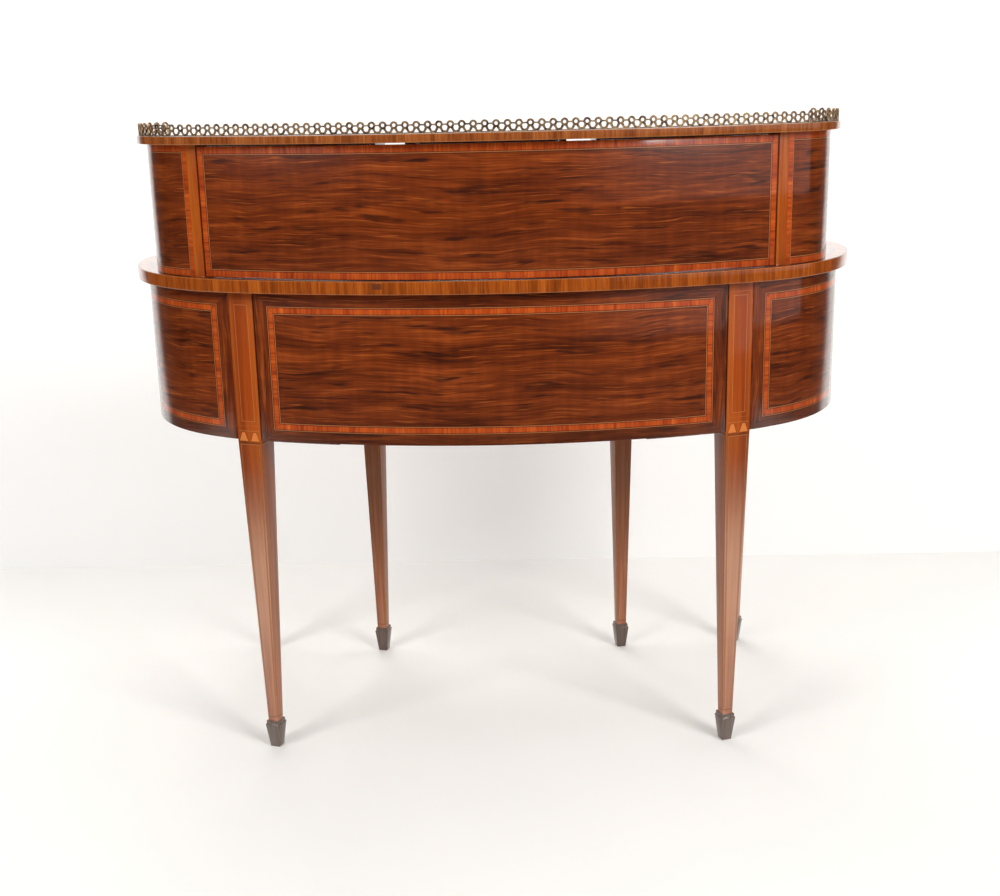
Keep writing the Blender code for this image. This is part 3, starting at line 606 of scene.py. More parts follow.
def veneered(name, rectangle, width, seed, banded_to_edge=False, shut=9.0, lift=0.0):
    """Figured veneer with an inlaid frame, a border grained along its edges, and painted shade in its open joints and,
    on a board banded to its edge, along its foot.
    """
    low = rectangle[2]

    def build():
        place = surface_place()
        sockets = dict(zip(("Left", "Right", "Bottom", "Top", "Width", "String"), (*rectangle, width, 0.0009)))
        masks = outs("Group", {"Place": place, **sockets}, node_tree=frame_group)
        deep, _, upright = split(masks["Bars"])
        run, height, _ = split(place)
        place = mixed((deep < 0.0) * upright, place, joined(height, run))
        place = out("VectorMath", {0: place, 1: (seed * 0.37, seed * 0.11, seed * 1.7)}, operation="ADD")
        sheet = outs("Group", {"Place": place}, node_tree=figure_group)
        colour = ramp(sheet["Tone"], (0.38 - lift, (0.058, 0.0090, 0.0008)), (0.45 - lift, (0.104, 0.0158, 0.0012)),
                      (0.50 - lift, (0.138, 0.0220, 0.0017)), (0.55 - lift, (0.180, 0.0305, 0.0026)),
                      (0.62 - lift, (0.27, 0.051, 0.005)))
        colour = mixed(sheet["Lens"] * 0.8, colour, (0.022, 0.0045, 0.0014))
        colour = mixed(sheet["Fleck"] * 0.6, colour, (0.40, 0.090, 0.010))
        colour = mixed(masks["Band"], colour, cross_banding(masks["Bars"]))
        lines, strings = masks["Lines"], masks["Strings"]
        if banded_to_edge:
            inner_half = deep > width / 2
            lines, strings = lines * inner_half, strings * inner_half
        colour = mixed(lines * 0.8, colour, line_brown)
        colour = mixed(strings * 0.8, colour, string_yellow)
        # Painted shade: the ends of a panel beside an open joint, and the lowest millimetre of a board banded to its
        # edge, are darkened where shade falls in the gap.
        joint_shade = abs(run) > shut - 0.0016
        if banded_to_edge:
            joint_shade = most(joint_shade, height < low + 0.0010)
        else:
            colour = mixed(eased(height, low + 0.002, low - 0.006, 0.0, 0.42), colour, (0.026, 0.0085, 0.003))
        return mixed(joint_shade * 0.85, colour, (0.012, 0.0045, 0.002)), sheet["Fibre"], sheet["Tone"]

    return polished(name, build, roughness=0.34)


def veneered_pair(right, plan, inset, span, heights, width, seeds, wood_name, body, node, from_front=False, **more):
    """Dresses a veneered board and its twin. What has a hand in its name has it put in place of the star."""
    first, last = span
    for piece, hand, ends, seed in ((right, "right", span, seeds[0]), (twin(right), "left", (-last, -first), seeds[1])):
        wood = veneered(f"{wood_name}_{hand}", (*ends, *heights), width, seed, **more)
        unwrapped(piece, plan, inset, from_front)
        dress(piece, wood, body.replace("*", hand), node.replace("*", hand))


joint, glue = 0.0016, 0.0003
inner, middle = face + panel, ("back", 0)
ends = [middle, lower.meet(back_leg, -1, joint, face), lower.meet(back_leg, -1, joint, inner), middle]
piece = bowed("lower_back_veneer", lower, face, inner, ends, carcass_low, carcass_high, halved=True)
wood = veneered("lower_back_wood", (-0.3395, 0.3395, 0.5456, 0.7365), 0.0117, 1.0, shut=0.3622)
dress(piece, wood, "desk", "lower_back_panel")

ends = fitted(lower, (back_leg, 1), (outer_leg, -1), glue, face, inner)
right = bowed("lower_side_veneer_right", lower, face, inner, ends, carcass_low, carcass_high)
end_run = lower.unroll(*lower.point(ends[1], face), face)
veneered_pair(right, lower, face, (0.4255, end_run - 0.0215), (0.5456, 0.7375), 0.0120, (3.0, 5.0), "lower_side_wood",
              "desk", "lower_side_panel_*")

# Pedestal sides, bottoms and dust boards: plain mahogany boards that close each pedestal beside the kneehole,
# below and between its drawers, and one more below the kneehole drawer. They are tongued between the legs
# and left almost unpolished.


def board_place():
    """The place on a board in metres, X along its grain, picked by the way that each face looks."""
    coordinates = outs("TexCoord")
    x, y, z = split(coordinates["Object"])
    out_x, _, out_z = split(coordinates["Normal"])
    sideways, level = abs(out_x) > 0.7, abs(out_z) > 0.7
    return joined(chosen(sideways, x, y), chosen(level, z, y), sideways)


def timber(name, dark, light, rates=(2.2, 40.0), roughness=0.45, coat=0.1, soiled=0.3):
    """Straight-grained board wood between two tones, darkened in patches by handling."""

    def build():
        place = board_place()
        fibres = grain(place, *rates)
        colour = ramp(fibres["Figure"], (0.34, dark), (0.5, halfway(dark, light)), (0.66, light))
        streak = above(fibres["Fibre"], 0.5, 2.4) * 0.6
        colour = mixed(streak, colour, tuple(value * 0.35 for value in dark))
        patch = above(noise(place, 9.0, 3.0), 0.5, soiled * 4)
        return mixed(patch, colour, tuple(value * 0.4 for value in dark)), fibres["Fibre"], fibres["Pores"]

    return polished(name, build, roughness, coat, specular=0.3, bump=0.08)


def finish_nodes(material, *names):
    """Gives solids that stay as they are a better finish, on both hands where a name has two."""
    for name in names:
        for label in (name, name + "_left", name + "_right"):
            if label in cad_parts:
                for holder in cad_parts[label].material_slots:
                    holder.material = material


side_wood = timber("pedestal_side_wood", (0.070, 0.018, 0.008), (0.215, 0.066, 0.024), roughness=0.36, coat=0.3)
board_wood = timber("pedestal_board_wood", (0.095, 0.033, 0.016), (0.215, 0.085, 0.040), roughness=0.55, coat=0.0)
finish_nodes(side_wood, "pedestal_inner_side")
finish_nodes(board_wood, "pedestal_bottom", "pedestal_dust_board", "kneehole_dust_board")

# Drawers round the kneehole: a wide one over it and two in each pedestal. Each has a curved front, veneered
# and cross-banded to its edges, and a lining of thin pale cedar boards that runs between the boards of the
# carcass.


def span_of(piece):
    """The two ends of the run on the map of a piece."""
    runs = [loop.uv.x for loop in piece.data.uv_layers["run"].data]
    return min(runs), max(runs)


lining_wood = timber("cedar_boards", (0.30, 0.145, 0.062), (0.52, 0.29, 0.145), rates=(2.6, 55.0), roughness=0.6,
                     coat=0.0, soiled=0.12)
finish_nodes(lining_wood, "kneehole_drawer_lining", "pedestal_lower_drawer_lining", "pedestal_upper_drawer_lining")

reveal = 0.0010
rail_high, bottom_high, dust_low, dust_high = 0.667, 0.534, 0.641, 0.651
front_low, front_high = rail_high + reveal, board_low - reveal
knee_x, front_middle = kneehole_leg.corner(1, -1).x - reveal, ("recess", 0)
ends = [front_middle, lower.front_at(knee_x, face), lower.front_at(knee_x, inner), front_middle]
piece = bowed("kneehole_drawer_veneer", lower, face, inner, ends, front_low, front_high, 0.0006, True, True)
half_run = span_of(piece)[1]
wood = veneered("kneehole_drawer_wood", (-half_run, half_run, front_low, front_high), 0.0105, 7.0, banded_to_edge=True)
dress(piece, wood, "kneehole_drawer", "kneehole_drawer_front")

ends = fitted(lower, (outer_leg, 1), (kneehole_leg, 1), reveal, face, inner)
for tier, low, high, seed in (("lower", bottom_high + reveal, dust_low - reveal, 11.0),
                              ("upper", dust_high + reveal, front_high, 13.0)):
    name = f"pedestal_{tier}"
    right = bowed(name + "_veneer_right", lower, face, inner, ends, low, high, 0.0006, from_front=True)
    first, last = span_of(right)
    veneered_pair(right, lower, face, (first, last), (low, high), 0.0105, (seed + first, seed - last), name + "_wood",
                  name + "_drawer_*", name + "_drawer_front_*", from_front=True, banded_to_edge=True)

# Ring pulls, two on the kneehole drawer and one on each pedestal drawer, in cast brass gone brown in the
# hollows: a turned back plate with an eye riveted through it, and a ring sprung into the eye that hangs on
# the plate.


def aged_brass(name, bright=(0.50, 0.335, 0.135), brown=(0.13, 0.072, 0.028), roughness=0.30, metal=1.0):
    """Brass with brown tarnish in patches and fine pitting."""
    material, shader = finish(name)
    place = out("TexCoord", which="Object")
    pits = noise(place, 700.0)
    tarnish = noise(place, 130.0, 5.0, Roughness=0.65) * 0.75 + pits * 0.25
    colour = ramp(tarnish, (0.42, bright), (0.50, halfway(bright, brown)), (0.58, brown))
    fill(shader, {"Base Color": colour, "Roughness": eased(tarnish, 0.38, 0.62, roughness, roughness + 0.28),
                  "Metallic": metal, "Normal": relief(pits, 0.25, 0.0002)})
    return material


def turned(name, profile, axis, steps, ringed_up=False):
    """A piece turned from a half section: pairs of distance from the axis and place along it."""
    along = Vector((0, -1, 0)) if axis == "Y" else Vector((1, 0, 0))
    spots = [Vector((0, 0, radius)) + along * rise for radius, rise in profile]
    spots += spots[:1] if ringed_up else []
    piece = begun_at(name, spots[0])
    for before, after in zip(spots, spots[1:]):
        bpy.ops.mesh.extrude_vertices_move(TRANSFORM_OT_translate={"value": after - before})
    bpy.ops.mesh.select_all(action="SELECT")
    bpy.ops.mesh.spin(steps=steps, angle=2 * math.pi, center=(0, 0, 0), axis=along)
    closed(0.00001)
    bpy.ops.object.shade_smooth_by_angle(angle=math.radians(38))
    return piece


def on_front(plan, x, inset, height):
    """Where a fitting stands on a drawer front, and how it is turned to face straight out of it."""
    arc, angle = plan.front_at(x, inset)
    point = plan.point((arc, angle), inset)
    turn = -angle if arc == "recess" else math.pi - angle
    return Matrix.Translation((*point, height)) @ Matrix.Rotation(turn, 4, "Z")


brass = aged_brass("pull_brass")
plate_section = [(0.0, 0.0), (0.0150, 0.0), (0.0150, 0.0004), (0.0146, 0.0010), (0.0139, 0.0014), (0.0131, 0.0013),
                 (0.0126, 0.0007), (0.0119, 0.0005), (0.0112, 0.0006), (0.0108, 0.0009), (0.0102, 0.0010),
                 (0.0096, 0.0008), (0.0072, 0.0008), (0.0060, 0.0011), (0.0050, 0.0014), (0.0, 0.0015)]
eye_section = [(0.0024, -0.0020), (0.0020, -0.0014), (0.0020, 0.0014), (0.0024, 0.0020), (0.0034, 0.0020),
               (0.0041, 0.0013), (0.0042, 0.0), (0.0041, -0.0013), (0.0034, -0.0020)]
ring_reach, wire, gap, eye_out, eye_rise = 0.0125, 0.0014, 0.0003, 0.0054, 0.0060
wire_section = [(ring_reach + wire * math.cos(math.tau * step / 12), wire * math.sin(math.tau * step / 12))
                for step in range(12)]
plate = turned("pull_plate_pattern", plate_section, "Y", 48)
plate.data.transform(Matrix.Translation((0, -gap, 0)))
eye = turned("pull_eye_pattern", eye_section, "X", 24, ringed_up=True)
eye.data.transform(Matrix.Translation((0, -eye_out, eye_rise)))
picked(plate, eye)
bpy.ops.object.join()
ring = turned("pull_ring_pattern", wire_section, "Y", 48, ringed_up=True)
for vertex in ring.data.vertices:
    core = Vector((vertex.co.x, 0, vertex.co.z)).normalized() * ring_reach
    vertex.co = core + (vertex.co - core) * (1 + 0.2 * max(0, -vertex.co.z / ring_reach) ** 2)
ring.data.transform(Matrix.Translation((0, -eye_out, eye_rise - ring_reach)))

pull_x = (outer_leg.corner(-1, 1).x + kneehole_leg.corner(-1, 1).x) / 2
for drawer, x, height in (("kneehole_drawer", 0.128, (rail_high + board_low) / 2),
                          ("pedestal_lower_drawer", pull_x, (bottom_high + dust_low) / 2),
                          ("pedestal_upper_drawer", pull_x, (dust_high + board_low) / 2)):
    for pattern, part in ((plate, "plate"), (ring, "ring")):
        right = copied(pattern, f"{drawer}_pull_{part}_right_cast")
        right.data.transform(on_front(lower, x, face, height))
        for piece, hand in ((right, "right"), (twin(right), "left")):
            label = f"{drawer}_pull_{hand}"
            holder = drawer if drawer.startswith("kneehole") else f"{drawer}_{hand}"
            dress(piece, brass, label + "_ring" if part == "ring" else holder, f"{label}_{part}")
for pattern in (plate, ring):
    bpy.data.objects.remove(pattern)

# Writing top and its leather: one kidney-shaped board, its edge veneered with upright grain between two thin
# pale lines and its surface with mahogany that is cross-banded all round. A green leather tooled with gilt
# lines lies in its bed.


def ringed(piece, depths):
    """Insets the top face step by step and keeps each step's depth from the edge on its points."""
    piece.data.attributes.new("depth", "FLOAT", "POINT")
    top = max(piece.data.polygons, key=lambda polygon: (round(polygon.center.z, 4), polygon.area)).index
    picked(piece)
    mode("EDIT")
    bpy.ops.mesh.select_mode(type="FACE")
    bpy.ops.mesh.select_all(action="DESELECT")
    mode("OBJECT")
    piece.data.polygons[top].select = True
    before = 0
    for depth in depths:
        mode("EDIT")
        bpy.ops.mesh.inset(thickness=depth - before, depth=0)
        mode("OBJECT")
        layer = piece.data.attributes["depth"]
        for vertex in piece.data.vertices:
            if vertex.select:
                layer.data[vertex.index].value = depth
        before = depth
    mode("EDIT")
    bpy.ops.mesh.select_mode(type="VERT")
    mode("OBJECT")


def whole_board(name, plan, low, high, arris, depths):
    """A board of the whole plan, with its top surface ringed and its edge unwrapped."""
    piece = outline(name, plan.point(middle, 0), arc_moves(plan, 0, middle, front_middle), halved=True)
    ringed(raised(piece, low, high, arris, 3), depths)
    return unwrapped(piece, plan, 0)


def banded_board(name, low, high, band, edge_tones, patch_run=9.0):
    """Edge veneer of upright grain with one dark repair, and a top surface with a cross-banded margin."""

    def build():
        place = surface_place()
        run, height, _ = split(place)
        fibres = grain(joined(height, run), 14.0, 330.0)
        slow = noise(out("VectorMath", {0: place, 1: (1, 0, 0)}, operation="MULTIPLY"), 16.0, 4.0, Roughness=0.7)
        edge = ramp(fibres["Figure"] * 0.72 + slow * 0.28, *zip((0.36, 0.46, 0.54, 0.64), edge_tones))
        repair = within(run, patch_run - 0.007, patch_run + 0.007) * within(height, low + 0.0085, high - 0.0035)
        edge = mixed(repair * 0.8, edge, (0.085, 0.027, 0.012))
        lines = most(within(height, low + 0.0004, low + 0.0011), within(height, high - 0.0011, high - 0.0004))
        edge = mixed(lines * 0.55, edge, string_yellow)
        coordinates = outs("TexCoord")
        top = ramp(grain(coordinates["Object"], 2.4, 30.0)["Figure"], (0.38, (0.060, 0.016, 0.007)),
                   (0.50, (0.150, 0.042, 0.013)), (0.62, (0.255, 0.082, 0.024)))
        depth = out("Attribute", which="Fac", attribute_name="depth")
        top = mixed(within(depth, *band), top, cross_banding(joined(depth, run, 0.5)))
        for line in band:
            top = mixed(within(depth, line - 0.0005, line + 0.0005) * 0.85, top, string_yellow)
        level = abs(split(coordinates["Normal"])[2]) > 0.75
        return mixed(level, edge, top), fibres["Fibre"], fibres["Pores"]

    return polished(name, build, roughness=0.24, coat=1.0, specular=0.2)


board_high = 0.778
board = whole_board("writing_board", lower, board_low, board_high, 0.0009, (0.0035, 0.0045, 0.0165, 0.0175))

upper = Kidney(1.093, 1.082, 0.158, 0.075, 0.863, 0.285039)
lobe_end, leather_rear, leather_front, leather_turn = ("lobe", math.pi), -0.013, 0.044, ("lobe", math.radians(104))


def leather_shape(name, grow, low, high, arris, segments):
    """The leather lies between the foot of the superstructure and the front edge of the board."""
    rear, front = leather_rear + grow, leather_front - grow
    moves = (arc_moves(upper, rear, front_middle, lobe_end) + [lower.point(leather_turn, front)]
             + arc_moves(lower, front, leather_turn, front_middle))
    return raised(outline(name, upper.point(front_middle, rear), moves, True), low, high, arris, segments)


bed = leather_shape("leather_bed", 0.0003, board_high - 0.0012, board_high + 0.004, 0.0001, 1)
picked(board)
applied(board, "BOOLEAN", object=bed, operation="DIFFERENCE", solver="EXACT")
bpy.data.objects.remove(bed)
edge_tones = [(0.130, 0.026, 0.002), (0.225, 0.044, 0.003), (0.330, 0.070, 0.005), (0.440, 0.115, 0.012)]
wood = banded_board("writing_board_wood", board_low, board_high, (0.0045, 0.0165), edge_tones, 0.163)
dress(board, wood, "desk", "writing_top")


def leather_margin(place):
    """How far a place on the leather lies in from its edge, in metres, from the arcs that bound it."""
    x, y, _ = split(place)
    right = abs(x)
    spot = joined(right, y)

    def off(plan, arc):
        return out("VectorMath", {0: spot, 1: (*plan.arcs[arc][0], 0)}, 1, operation="DISTANCE")

    def between(plan, in_lobe, in_recess):
        """The second value where the recess, and not the lobe, is the nearer arc."""
        hollow = right < (y - plan.arcs["recess"][0].y) * math.tan(plan.hollow)
        return chosen(hollow, in_lobe, in_recess)

    front = between(lower, lower.radius("lobe", leather_front) - off(lower, "lobe"),
                    off(lower, "recess") - lower.radius("recess", leather_front))
    rear = between(upper, off(upper, "lobe") - upper.radius("lobe", leather_rear),
                   upper.radius("recess", leather_rear) - off(upper, "recess"))
    first, last = upper.point(lobe_end, leather_rear), lower.point(leather_turn, leather_front)
    across = Vector((last.y - first.y, first.x - last.x)).normalized()
    side = out("VectorMath", {0: spot, 1: (*-across, 0)}, 1, operation="DOT_PRODUCT")
    side, level = abs(side + across.dot(first)), least(front, rear)
    return {"Depth": least(side, level), "Run": chosen(side < level, right, y)}


def tooled_leather():
    """Green hide with a pebbled grain, two gilt lines and a row of gilt tools round its edge."""
    material, shader = finish("tooled_green_leather")
    place = out("TexCoord", which="Object")
    cells = out("TexVoronoi", {"Vector": place, "Scale": 900.0}, "Distance", feature="SMOOTH_F1")
    mottle = noise(place, 14.0, 5.0)
    hide = ramp(mottle, (0.35, (0.018, 0.050, 0.026)), (0.5, (0.032, 0.083, 0.043)), (0.66, (0.055, 0.115, 0.060)))
    margin = outs("Group", {"Place": place}, node_tree=grouped("leather_margin", ("Place",), leather_margin))
    depth = margin["Depth"]
    across = abs(depth - 0.0149)
    beat = abs(maths("FRACT", margin["Run"] * 125.0) - 0.5)
    lobed = beat * 0.0080 + across
    tool = most(within(lobed, 0.0021, 0.0027), lobed < 0.0010) * (across < 0.0035)
    gilt = most(most(within(depth, 0.0085, 0.0097), within(depth, 0.0202, 0.0208)), tool)
    gilt = gilt * (noise(place, 240.0, 4.0) < 0.58)
    fill(shader, {"Base Color": mixed(gilt, hide, (0.62, 0.41, 0.14)), "Metallic": gilt * 0.9,
                  "Roughness": eased(mottle, 0.0, 1.0, 0.38, 0.62), "Normal": relief(cells - gilt * 0.5, 0.35, 0.0004)})
    return material


leather = leather_shape("writing_leather", 0, board_high - 0.0009, board_high, 0.0003, 2)
dress(leather, tooled_leather(), "desk", "leather_inset")

# Walls of the superstructure: a bowed back panel between two pilasters, and a side panel that turns round
# each end to the front. The panels are cross-banded at their edges, and each pilaster carries a fine upright
# string at its outer edge.

up_face, up_inner = 0.015, 0.029
up_low, up_high, up_top = 0.7783, 0.9737, 0.974
pilaster = Post(upper, "back", upper.turn - math.radians(0.43), 0.026, up_face)
ends = [middle, upper.meet(pilaster, -1, joint, up_face), upper.meet(pilaster, -1, joint, up_inner), middle]
piece = bowed("upper_back_veneer", upper, up_face, up_inner, ends, 0.7787, 0.971, halved=True)
edge_run = upper.unroll(*upper.point(ends[1], up_face), up_face)
wood = veneered("upper_back_wood", (-edge_run, edge_run, 0.7792, 0.971), 0.0122, 21.0, True, edge_run, 0.008)
dress(piece, wood, "desk", "upper_back_panel")

ends = [upper.meet(pilaster, 1, glue, up_face), lobe_end, lobe_end, upper.meet(pilaster, 1, glue, up_inner)]
right = bowed("upper_side_veneer_right", upper, up_face, up_inner, ends, up_low, up_high)
first, last = (upper.unroll(*upper.point(place, up_face), up_face) for place in ends[:2])
veneered_pair(right, upper, up_face, (first - 0.02, last), (up_low, up_high), 0.0122, (23.0, 27.0), "upper_side_wood",
              "desk", "upper_side_panel_*", banded_to_edge=True)


def pilaster_colour():
    """Golden straight-grained stile, orange banding along its outer third, and a pale string beside it."""
    run, height, _ = split(surface_place())
    fibres = grain(joined(height, run), 4.0, 110.0)
    colour = ramp(fibres["Figure"], (0.34, (0.190, 0.030, 0.002)), (0.50, (0.330, 0.062, 0.004)),
                  (0.66, (0.47, 0.120, 0.011)))
    outer = abs(run) - pilaster_run
    colour = mixed(outer > 0.0040, colour, cross_banding(joined(outer, height, 0.3)))
    shade = most(within(outer, 0.0036, 0.0042), within(outer, 0.0113, 0.0119))
    colour = mixed(shade * 0.5, colour, line_brown)
    return mixed((outer > 0.0120) * 0.75, colour, string_yellow), fibres["Fibre"], fibres["Pores"]


corners = [pilaster.corner(show, side) for show, side in ((1, -1), (1, 1), (-1, 1), (-1, -1))]
pilaster_run = sum(upper.unroll(*corner, up_face) for corner in corners[:2]) / 2
tongue = (corners[0] - corners[1]).normalized() * (joint - glue)
behind = (corners[0] + corners[3]) / 2
stile = outline("pilaster_right", corners[0], corners[1:3] + [corners[3] + tongue, behind + tongue, behind])
raised(stile, up_low, up_high, 0.0004)
wood = polished("pilaster_wood", pilaster_colour)
for piece, hand in ((stile, "right"), (twin(stile), "left")):
    dress(unwrapped(piece, upper, up_face), wood, "desk", f"upper_pilaster_{hand}")

# Dividers, shelves and valance: four thin dividers part the open centre from the letter slots and the slots
# from the side banks. Each bank has a shelf under its drawer, and a strung valance closes the top of the
# centre.

divider_wood = timber("divider_wood", (0.110, 0.032, 0.012), (0.300, 0.105, 0.036), rates=(3.0, 60.0), roughness=0.34,
                      coat=0.35, soiled=0.2)
finish_nodes(divider_wood, "centre_divider", "slot_divider", "bank_shelf")

valance_x, valance_in, valance_low = 0.1082, 0.023, 0.946
ends = [front_middle, upper.front_at(valance_x, up_face), upper.front_at(valance_x, valance_in), front_middle]
piece = bowed("valance_veneer", upper, up_face, valance_in, ends, valance_low, up_high, halved=True, from_front=True)
half_run = span_of(piece)[1]
wood = veneered("valance_wood", (-half_run, half_run, valance_low, up_high), 0.0060, 31.0, banded_to_edge=True)
dress(piece, wood, "desk", "centre_valance")

# Small drawers of the side banks, one on each side over an open bay, with a curved cross-banded front, a
# cedar lining and one turned brass knob, screwed on through the middle of the front.

near_x, far_x, front_in, shelf_high = 0.163 + reveal, upper.arcs["lobe"][0].x - reveal, up_face + 0.012, 0.876
ends = [upper.front_at(x, inset) for x, inset in ((far_x, up_face), (near_x, up_face), (near_x, front_in),
                                                  (far_x, front_in))]
heights = (shelf_high + reveal, up_top - reveal)
right = bowed("bank_drawer_veneer_right", upper, up_face, front_in, ends, *heights, from_front=True)
veneered_pair(right, upper, up_face, span_of(right), heights, 0.0085, (33.0, 37.0), "bank_drawer_wood",
              "bank_drawer_*", "bank_drawer_front_*", from_front=True, banded_to_edge=True)
finish_nodes(lining_wood, "bank_drawer_lining")

knob_section = [(0.0, 0.0), (0.0070, 0.0), (0.0070, 0.0008), (0.0066, 0.0014), (0.0056, 0.0018), (0.0046, 0.0026),
                (0.0040, 0.0040), (0.0038, 0.0054), (0.0044, 0.0061), (0.0058, 0.0066), (0.0072, 0.0074),
                (0.0082, 0.0086), (0.0085, 0.0099), (0.0083, 0.0113), (0.0077, 0.0129), (0.0066, 0.0145),
                (0.0052, 0.0158), (0.0047, 0.0160), (0.0042, 0.0166), (0.0024, 0.0176), (0.0, 0.0180)]
knob = turned("bank_drawer_knob_right_turned", knob_section, "Y", 40)
knob.data.transform(on_front(upper, (near_x + far_x) / 2, up_face, (shelf_high + up_top) / 2)
                    @ Matrix.Translation((0, -gap, 0)))
knob_brass = aged_brass("knob_brass", bright=(0.56, 0.385, 0.165))
for piece, hand in ((knob, "right"), (twin(knob), "left")):
    dress(piece, knob_brass, f"bank_drawer_{hand}", f"bank_drawer_knob_{hand}")

# Top board: a thin kidney-shaped board that lies on the superstructure walls, edged with the same upright
# grain as the writing top and cross-banded round its surface.

top_high = 0.986
piece = whole_board("top_board_veneer", upper, up_top, top_high, 0.0007, (0.0075, 0.0085, 0.0185, 0.0195))
edge_tones = [(0.115, 0.026, 0.004), (0.205, 0.050, 0.009), (0.300, 0.085, 0.018), (0.430, 0.140, 0.040)]
wood = banded_board("top_board_wood", up_top, top_high, (0.0085, 0.0185), edge_tones)
dress(piece, wood, "desk", "top_board")

# Pierced gallery, a strip of cast brass: rings in a rail, on splayed claws over a flat base. It is pinned to
# the top board, follows its back and both ends, and stops where the front lobes begin.

gallery_low, gallery_thick, gallery_height = 0.9863, 0.0016, 0.0173
gallery_line, gallery_stop = 0.0040 + gallery_thick / 2, math.radians(145)
stretch = {arc: upper.radius(arc, gallery_line) * abs((gallery_stop if arc == "lobe" else high) - low)
           for arc, (_, _, _, low, high) in upper.arcs.items() if arc != "recess"}
gallery_run = sum(stretch.values())
units = round(2 * gallery_run / 0.0160)
pitch = 2 * gallery_run / units


def cast(strip, thick):
    """Gives a flat pattern its thickness, centred on Y = 0, and softens its edges."""
    mode("EDIT")
    closed(0.00003)
    applied(strip, "SOLIDIFY", thickness=thick, offset=0)
    applied(strip, "BEVEL", width=0.00035, segments=1, limit_method="ANGLE")
    return strip


def cast_strip(name, low_row, high_row, thick):
    """A cast band between two rows of points in X and Z."""
    bpy.ops.object.select_all(action="DESELECT")
    bpy.ops.mesh.primitive_grid_add(x_subdivisions=len(low_row) - 1, y_subdivisions=1, size=2)
    strip = bpy.context.object
    strip.name = name
    knots = sorted(strip.data.vertices, key=lambda vertex: (round(vertex.co.y, 3), vertex.co.x))
    for vertex, (x, z) in zip(knots, low_row + high_row):
        vertex.co = (x, 0, z)
    return cast(strip, thick)


ring_radius, hole_radius, half_pitch = 0.0055, 0.0025, pitch / 2
ring_z, ring_middle = gallery_height - ring_radius, (ring_radius + hole_radius) / 2
bpy.ops.object.select_all(action="DESELECT")
bpy.ops.mesh.primitive_circle_add(vertices=16, radius=ring_middle, location=(0, 0, ring_z),
                                  rotation=(math.pi / 2, 0, 0))
rim = bpy.context.object
bpy.ops.object.transform_apply(location=True, rotation=True)
mode("EDIT")
bpy.ops.mesh.select_all(action="SELECT")
bpy.ops.mesh.extrude_region_move()
bpy.ops.transform.resize(value=(ring_radius / ring_middle,) * 3, center_override=(0, 0, ring_z))
bpy.ops.mesh.select_all(action="INVERT")
bpy.ops.transform.resize(value=(hole_radius / ring_middle,) * 3, center_override=(0, 0, ring_z))
mode("OBJECT")
cast(rim, gallery_thick + 0.0002)

base_row = [-half_pitch, 0.0, half_pitch]
claw_rows = ([(0.0, 0.0068), (0.0013, 0.0054), (0.0024, 0.0037), (0.0031, 0.0024), (0.0036, 0.0014),
              (half_pitch, 0.0014)],
             [(0.0036, 0.0083), (0.0047, 0.0070), (0.0051, 0.0052), (0.0056, 0.0041), (0.0066, 0.0036),
              (half_pitch, 0.0035)])
bar_rows = ([(0.0046, ring_z - 0.0017), (0.0062, ring_z - 0.0011), (half_pitch, ring_z - 0.0012)],
            [(0.0046, ring_z + 0.0013), (0.0062, ring_z + 0.0009), (half_pitch, ring_z + 0.0011)])
parts = [cast_strip("base", [(x, 0.0) for x in base_row], [(x, 0.0015) for x in base_row], gallery_thick + 0.0006)]
for side in (-1, 1):
    for name, rows, thick in (("claw", claw_rows, gallery_thick - 0.0002), ("bar", bar_rows, gallery_thick - 0.0005)):
        parts.append(cast_strip(name, *([(side * x, z) for x, z in row] for row in rows), thick))
picked(rim, *parts)
bpy.ops.object.join()
rim.name = rim.data.name = "pierced_gallery"
applied(rim, "ARRAY", count=units, use_relative_offset=False, use_constant_offset=True,
        constant_offset_displace=(pitch, 0, 0))
for vertex in rim.data.vertices:
    run, thick, rise = vertex.co.x + half_pitch - gallery_run, vertex.co.y, vertex.co.z
    left = abs(run)
    for arc, length in stretch.items():
        if left <= length or arc == "lobe":
            angle = upper.arcs[arc][3] + left / upper.radius(arc, gallery_line)
            spot = upper.point((arc, angle), gallery_line - thick)
            break
        left -= length
    vertex.co = (math.copysign(spot.x, run), spot.y, gallery_low + rise)
mode("EDIT")
closed()
bpy.ops.object.shade_smooth_by_angle(angle=math.radians(40))
gallery_brass = aged_brass("gallery_brass", (0.56, 0.385, 0.200), (0.095, 0.052, 0.034), roughness=0.36, metal=0.85)
dress(rim, gallery_brass, "desk", "gallery")

# Room, lamps and camera: the desk stands on a pale floor before a white wall that is seen from its front side
# only. Two broad soft lamps hang high on the side of the camera, left and right of it, and the polish mirrors
# a dim room there.


def plain(name, colour, roughness, lifted, reach, see_through=False):
    """Matt stage finish, lifted a little for the camera alone. Polish mirrors it only behind the desk."""
    material, shader = finish(name)
    place, seen = out("TexCoord", which="Object"), outs("LightPath")
    camera_ray, glossy_ray = seen["Is Camera Ray"], seen["Is Glossy Ray"]
    mottle = noise(place, 3.0, 4.0)
    tone = ramp(mottle, (0.3, tuple(value * 0.985 for value in colour)), (0.7, colour))
    x, y, _ = split(place)
    mirrored = glossy_ray * most(eased(abs(x), *reach), eased(y, 0.4, 0.9))
    haze = eased(out("VectorMath", {0: place}, "Value", operation="LENGTH"), 2.2, 6.0, lifted, 0.75)
    glow = camera_ray * haze + (glossy_ray - mirrored) * 0.3
    fill(shader, {"Base Color": mixed(mirrored, tone, (0.02, 0.016, 0.013)), "Emission Color": (1.0, 0.975, 0.95),
                  "Emission Strength": glow, "Roughness": roughness, "Specular IOR Level": 0.1,
                  "Normal": out("Bump", {"Height": mottle, "Strength": 0.02})})
    if see_through:
        behind = most(out("NewGeometry", which="Backfacing"), seen["Is Shadow Ray"])
        mixture = out("MixShader", {0: behind, 1: Field(shader.outputs[0]), 2: out("BsdfTransparent")})
        fill(material.node_tree.nodes["Material Output"], {"Surface": mixture})
    return material


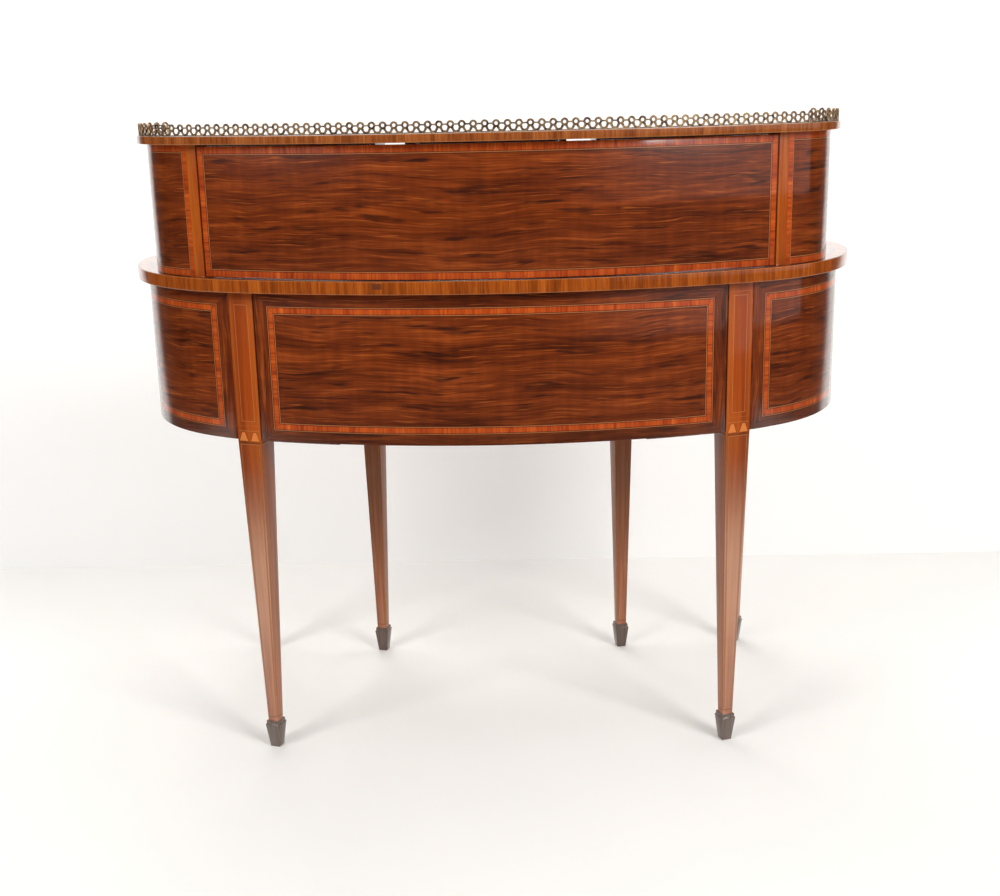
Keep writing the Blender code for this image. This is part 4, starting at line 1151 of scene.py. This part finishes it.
def stage_plane(name, material):
    bpy.ops.object.select_all(action="DESELECT")
    bpy.ops.mesh.primitive_plane_add(size=30)
    piece = bpy.context.object
    piece.name = name
    piece.data.materials.append(material)
    return piece


ground = stage_plane("pale_floor", plain("pale_floor_paint", (0.86, 0.85, 0.83), 0.7, 0.02, (1.2, 1.6)))
wall = stage_plane("white_wall", plain("white_wall_paint", (0.85, 0.85, 0.85), 0.8, 0.21, (1.2, 1.5), see_through=True))
wall.data.transform(Matrix.Translation((0, -0.71, 14.9)) @ Matrix.Rotation(math.radians(-90), 4, "X"))

for label, place, size, power in (("left_lamp", (2.6, 2.6, 2.9), 1.5, 72), ("right_lamp", (-2.6, 2.9, 2.9), 1.5, 116),
                                  ("overhead_lamp", (0, -0.2, 3.2), 2.2, 24),
                                  ("drawer_side_lamp", (0.9, -2.9, 2.3), 1.6, 30)):
    lamp = bpy.data.lights.new(label, "AREA")
    lamp.size, lamp.energy, lamp.color = size, power, (1.0, 0.985, 0.965)
    holder = bpy.data.objects.new(label, lamp)
    bpy.context.scene.collection.objects.link(holder)
    aim = Vector((0, 0, 0.55)) - Vector(place)
    holder.matrix_world = Matrix.Translation(place) @ aim.to_track_quat("-Z", "Y").to_matrix().to_4x4()

world = bpy.data.worlds.new("studio")
bpy.context.scene.world = world
world.use_nodes = True
trees.append(world.node_tree)
seen = outs("LightPath")
across, forward, _ = split(out("TexCoord", which="Generated"))
room = eased(forward, -0.9, -0.3, 0.8, 0.03) + eased(across, -0.25, -0.8, 0.0, 0.6)
level = most(seen["Is Glossy Ray"] * room + seen["Is Diffuse Ray"] * 0.32, seen["Is Camera Ray"])
fill(world.node_tree.nodes["Background"], {"Strength": level, "Color": (1.0, 0.995, 0.985)})

camera = bpy.data.cameras.new("camera")
camera.lens, camera.sensor_width = 48.85, 36
viewer = bpy.data.objects.new("camera", camera)
bpy.context.scene.collection.objects.link(viewer)
axes = Matrix(((-0.9997328, -0.0088707, -0.0213435), (-0.0183139, -0.2593411, 0.9656121),
               (-0.0141009, 0.9657450, 0.2591094)))
viewer.matrix_world = Matrix.Translation((-0.0397, 2.219, 1.0506)) @ axes.transposed().to_4x4()
bpy.context.scene.camera = viewer
bpy.context.scene.view_settings.view_transform = "Standard"
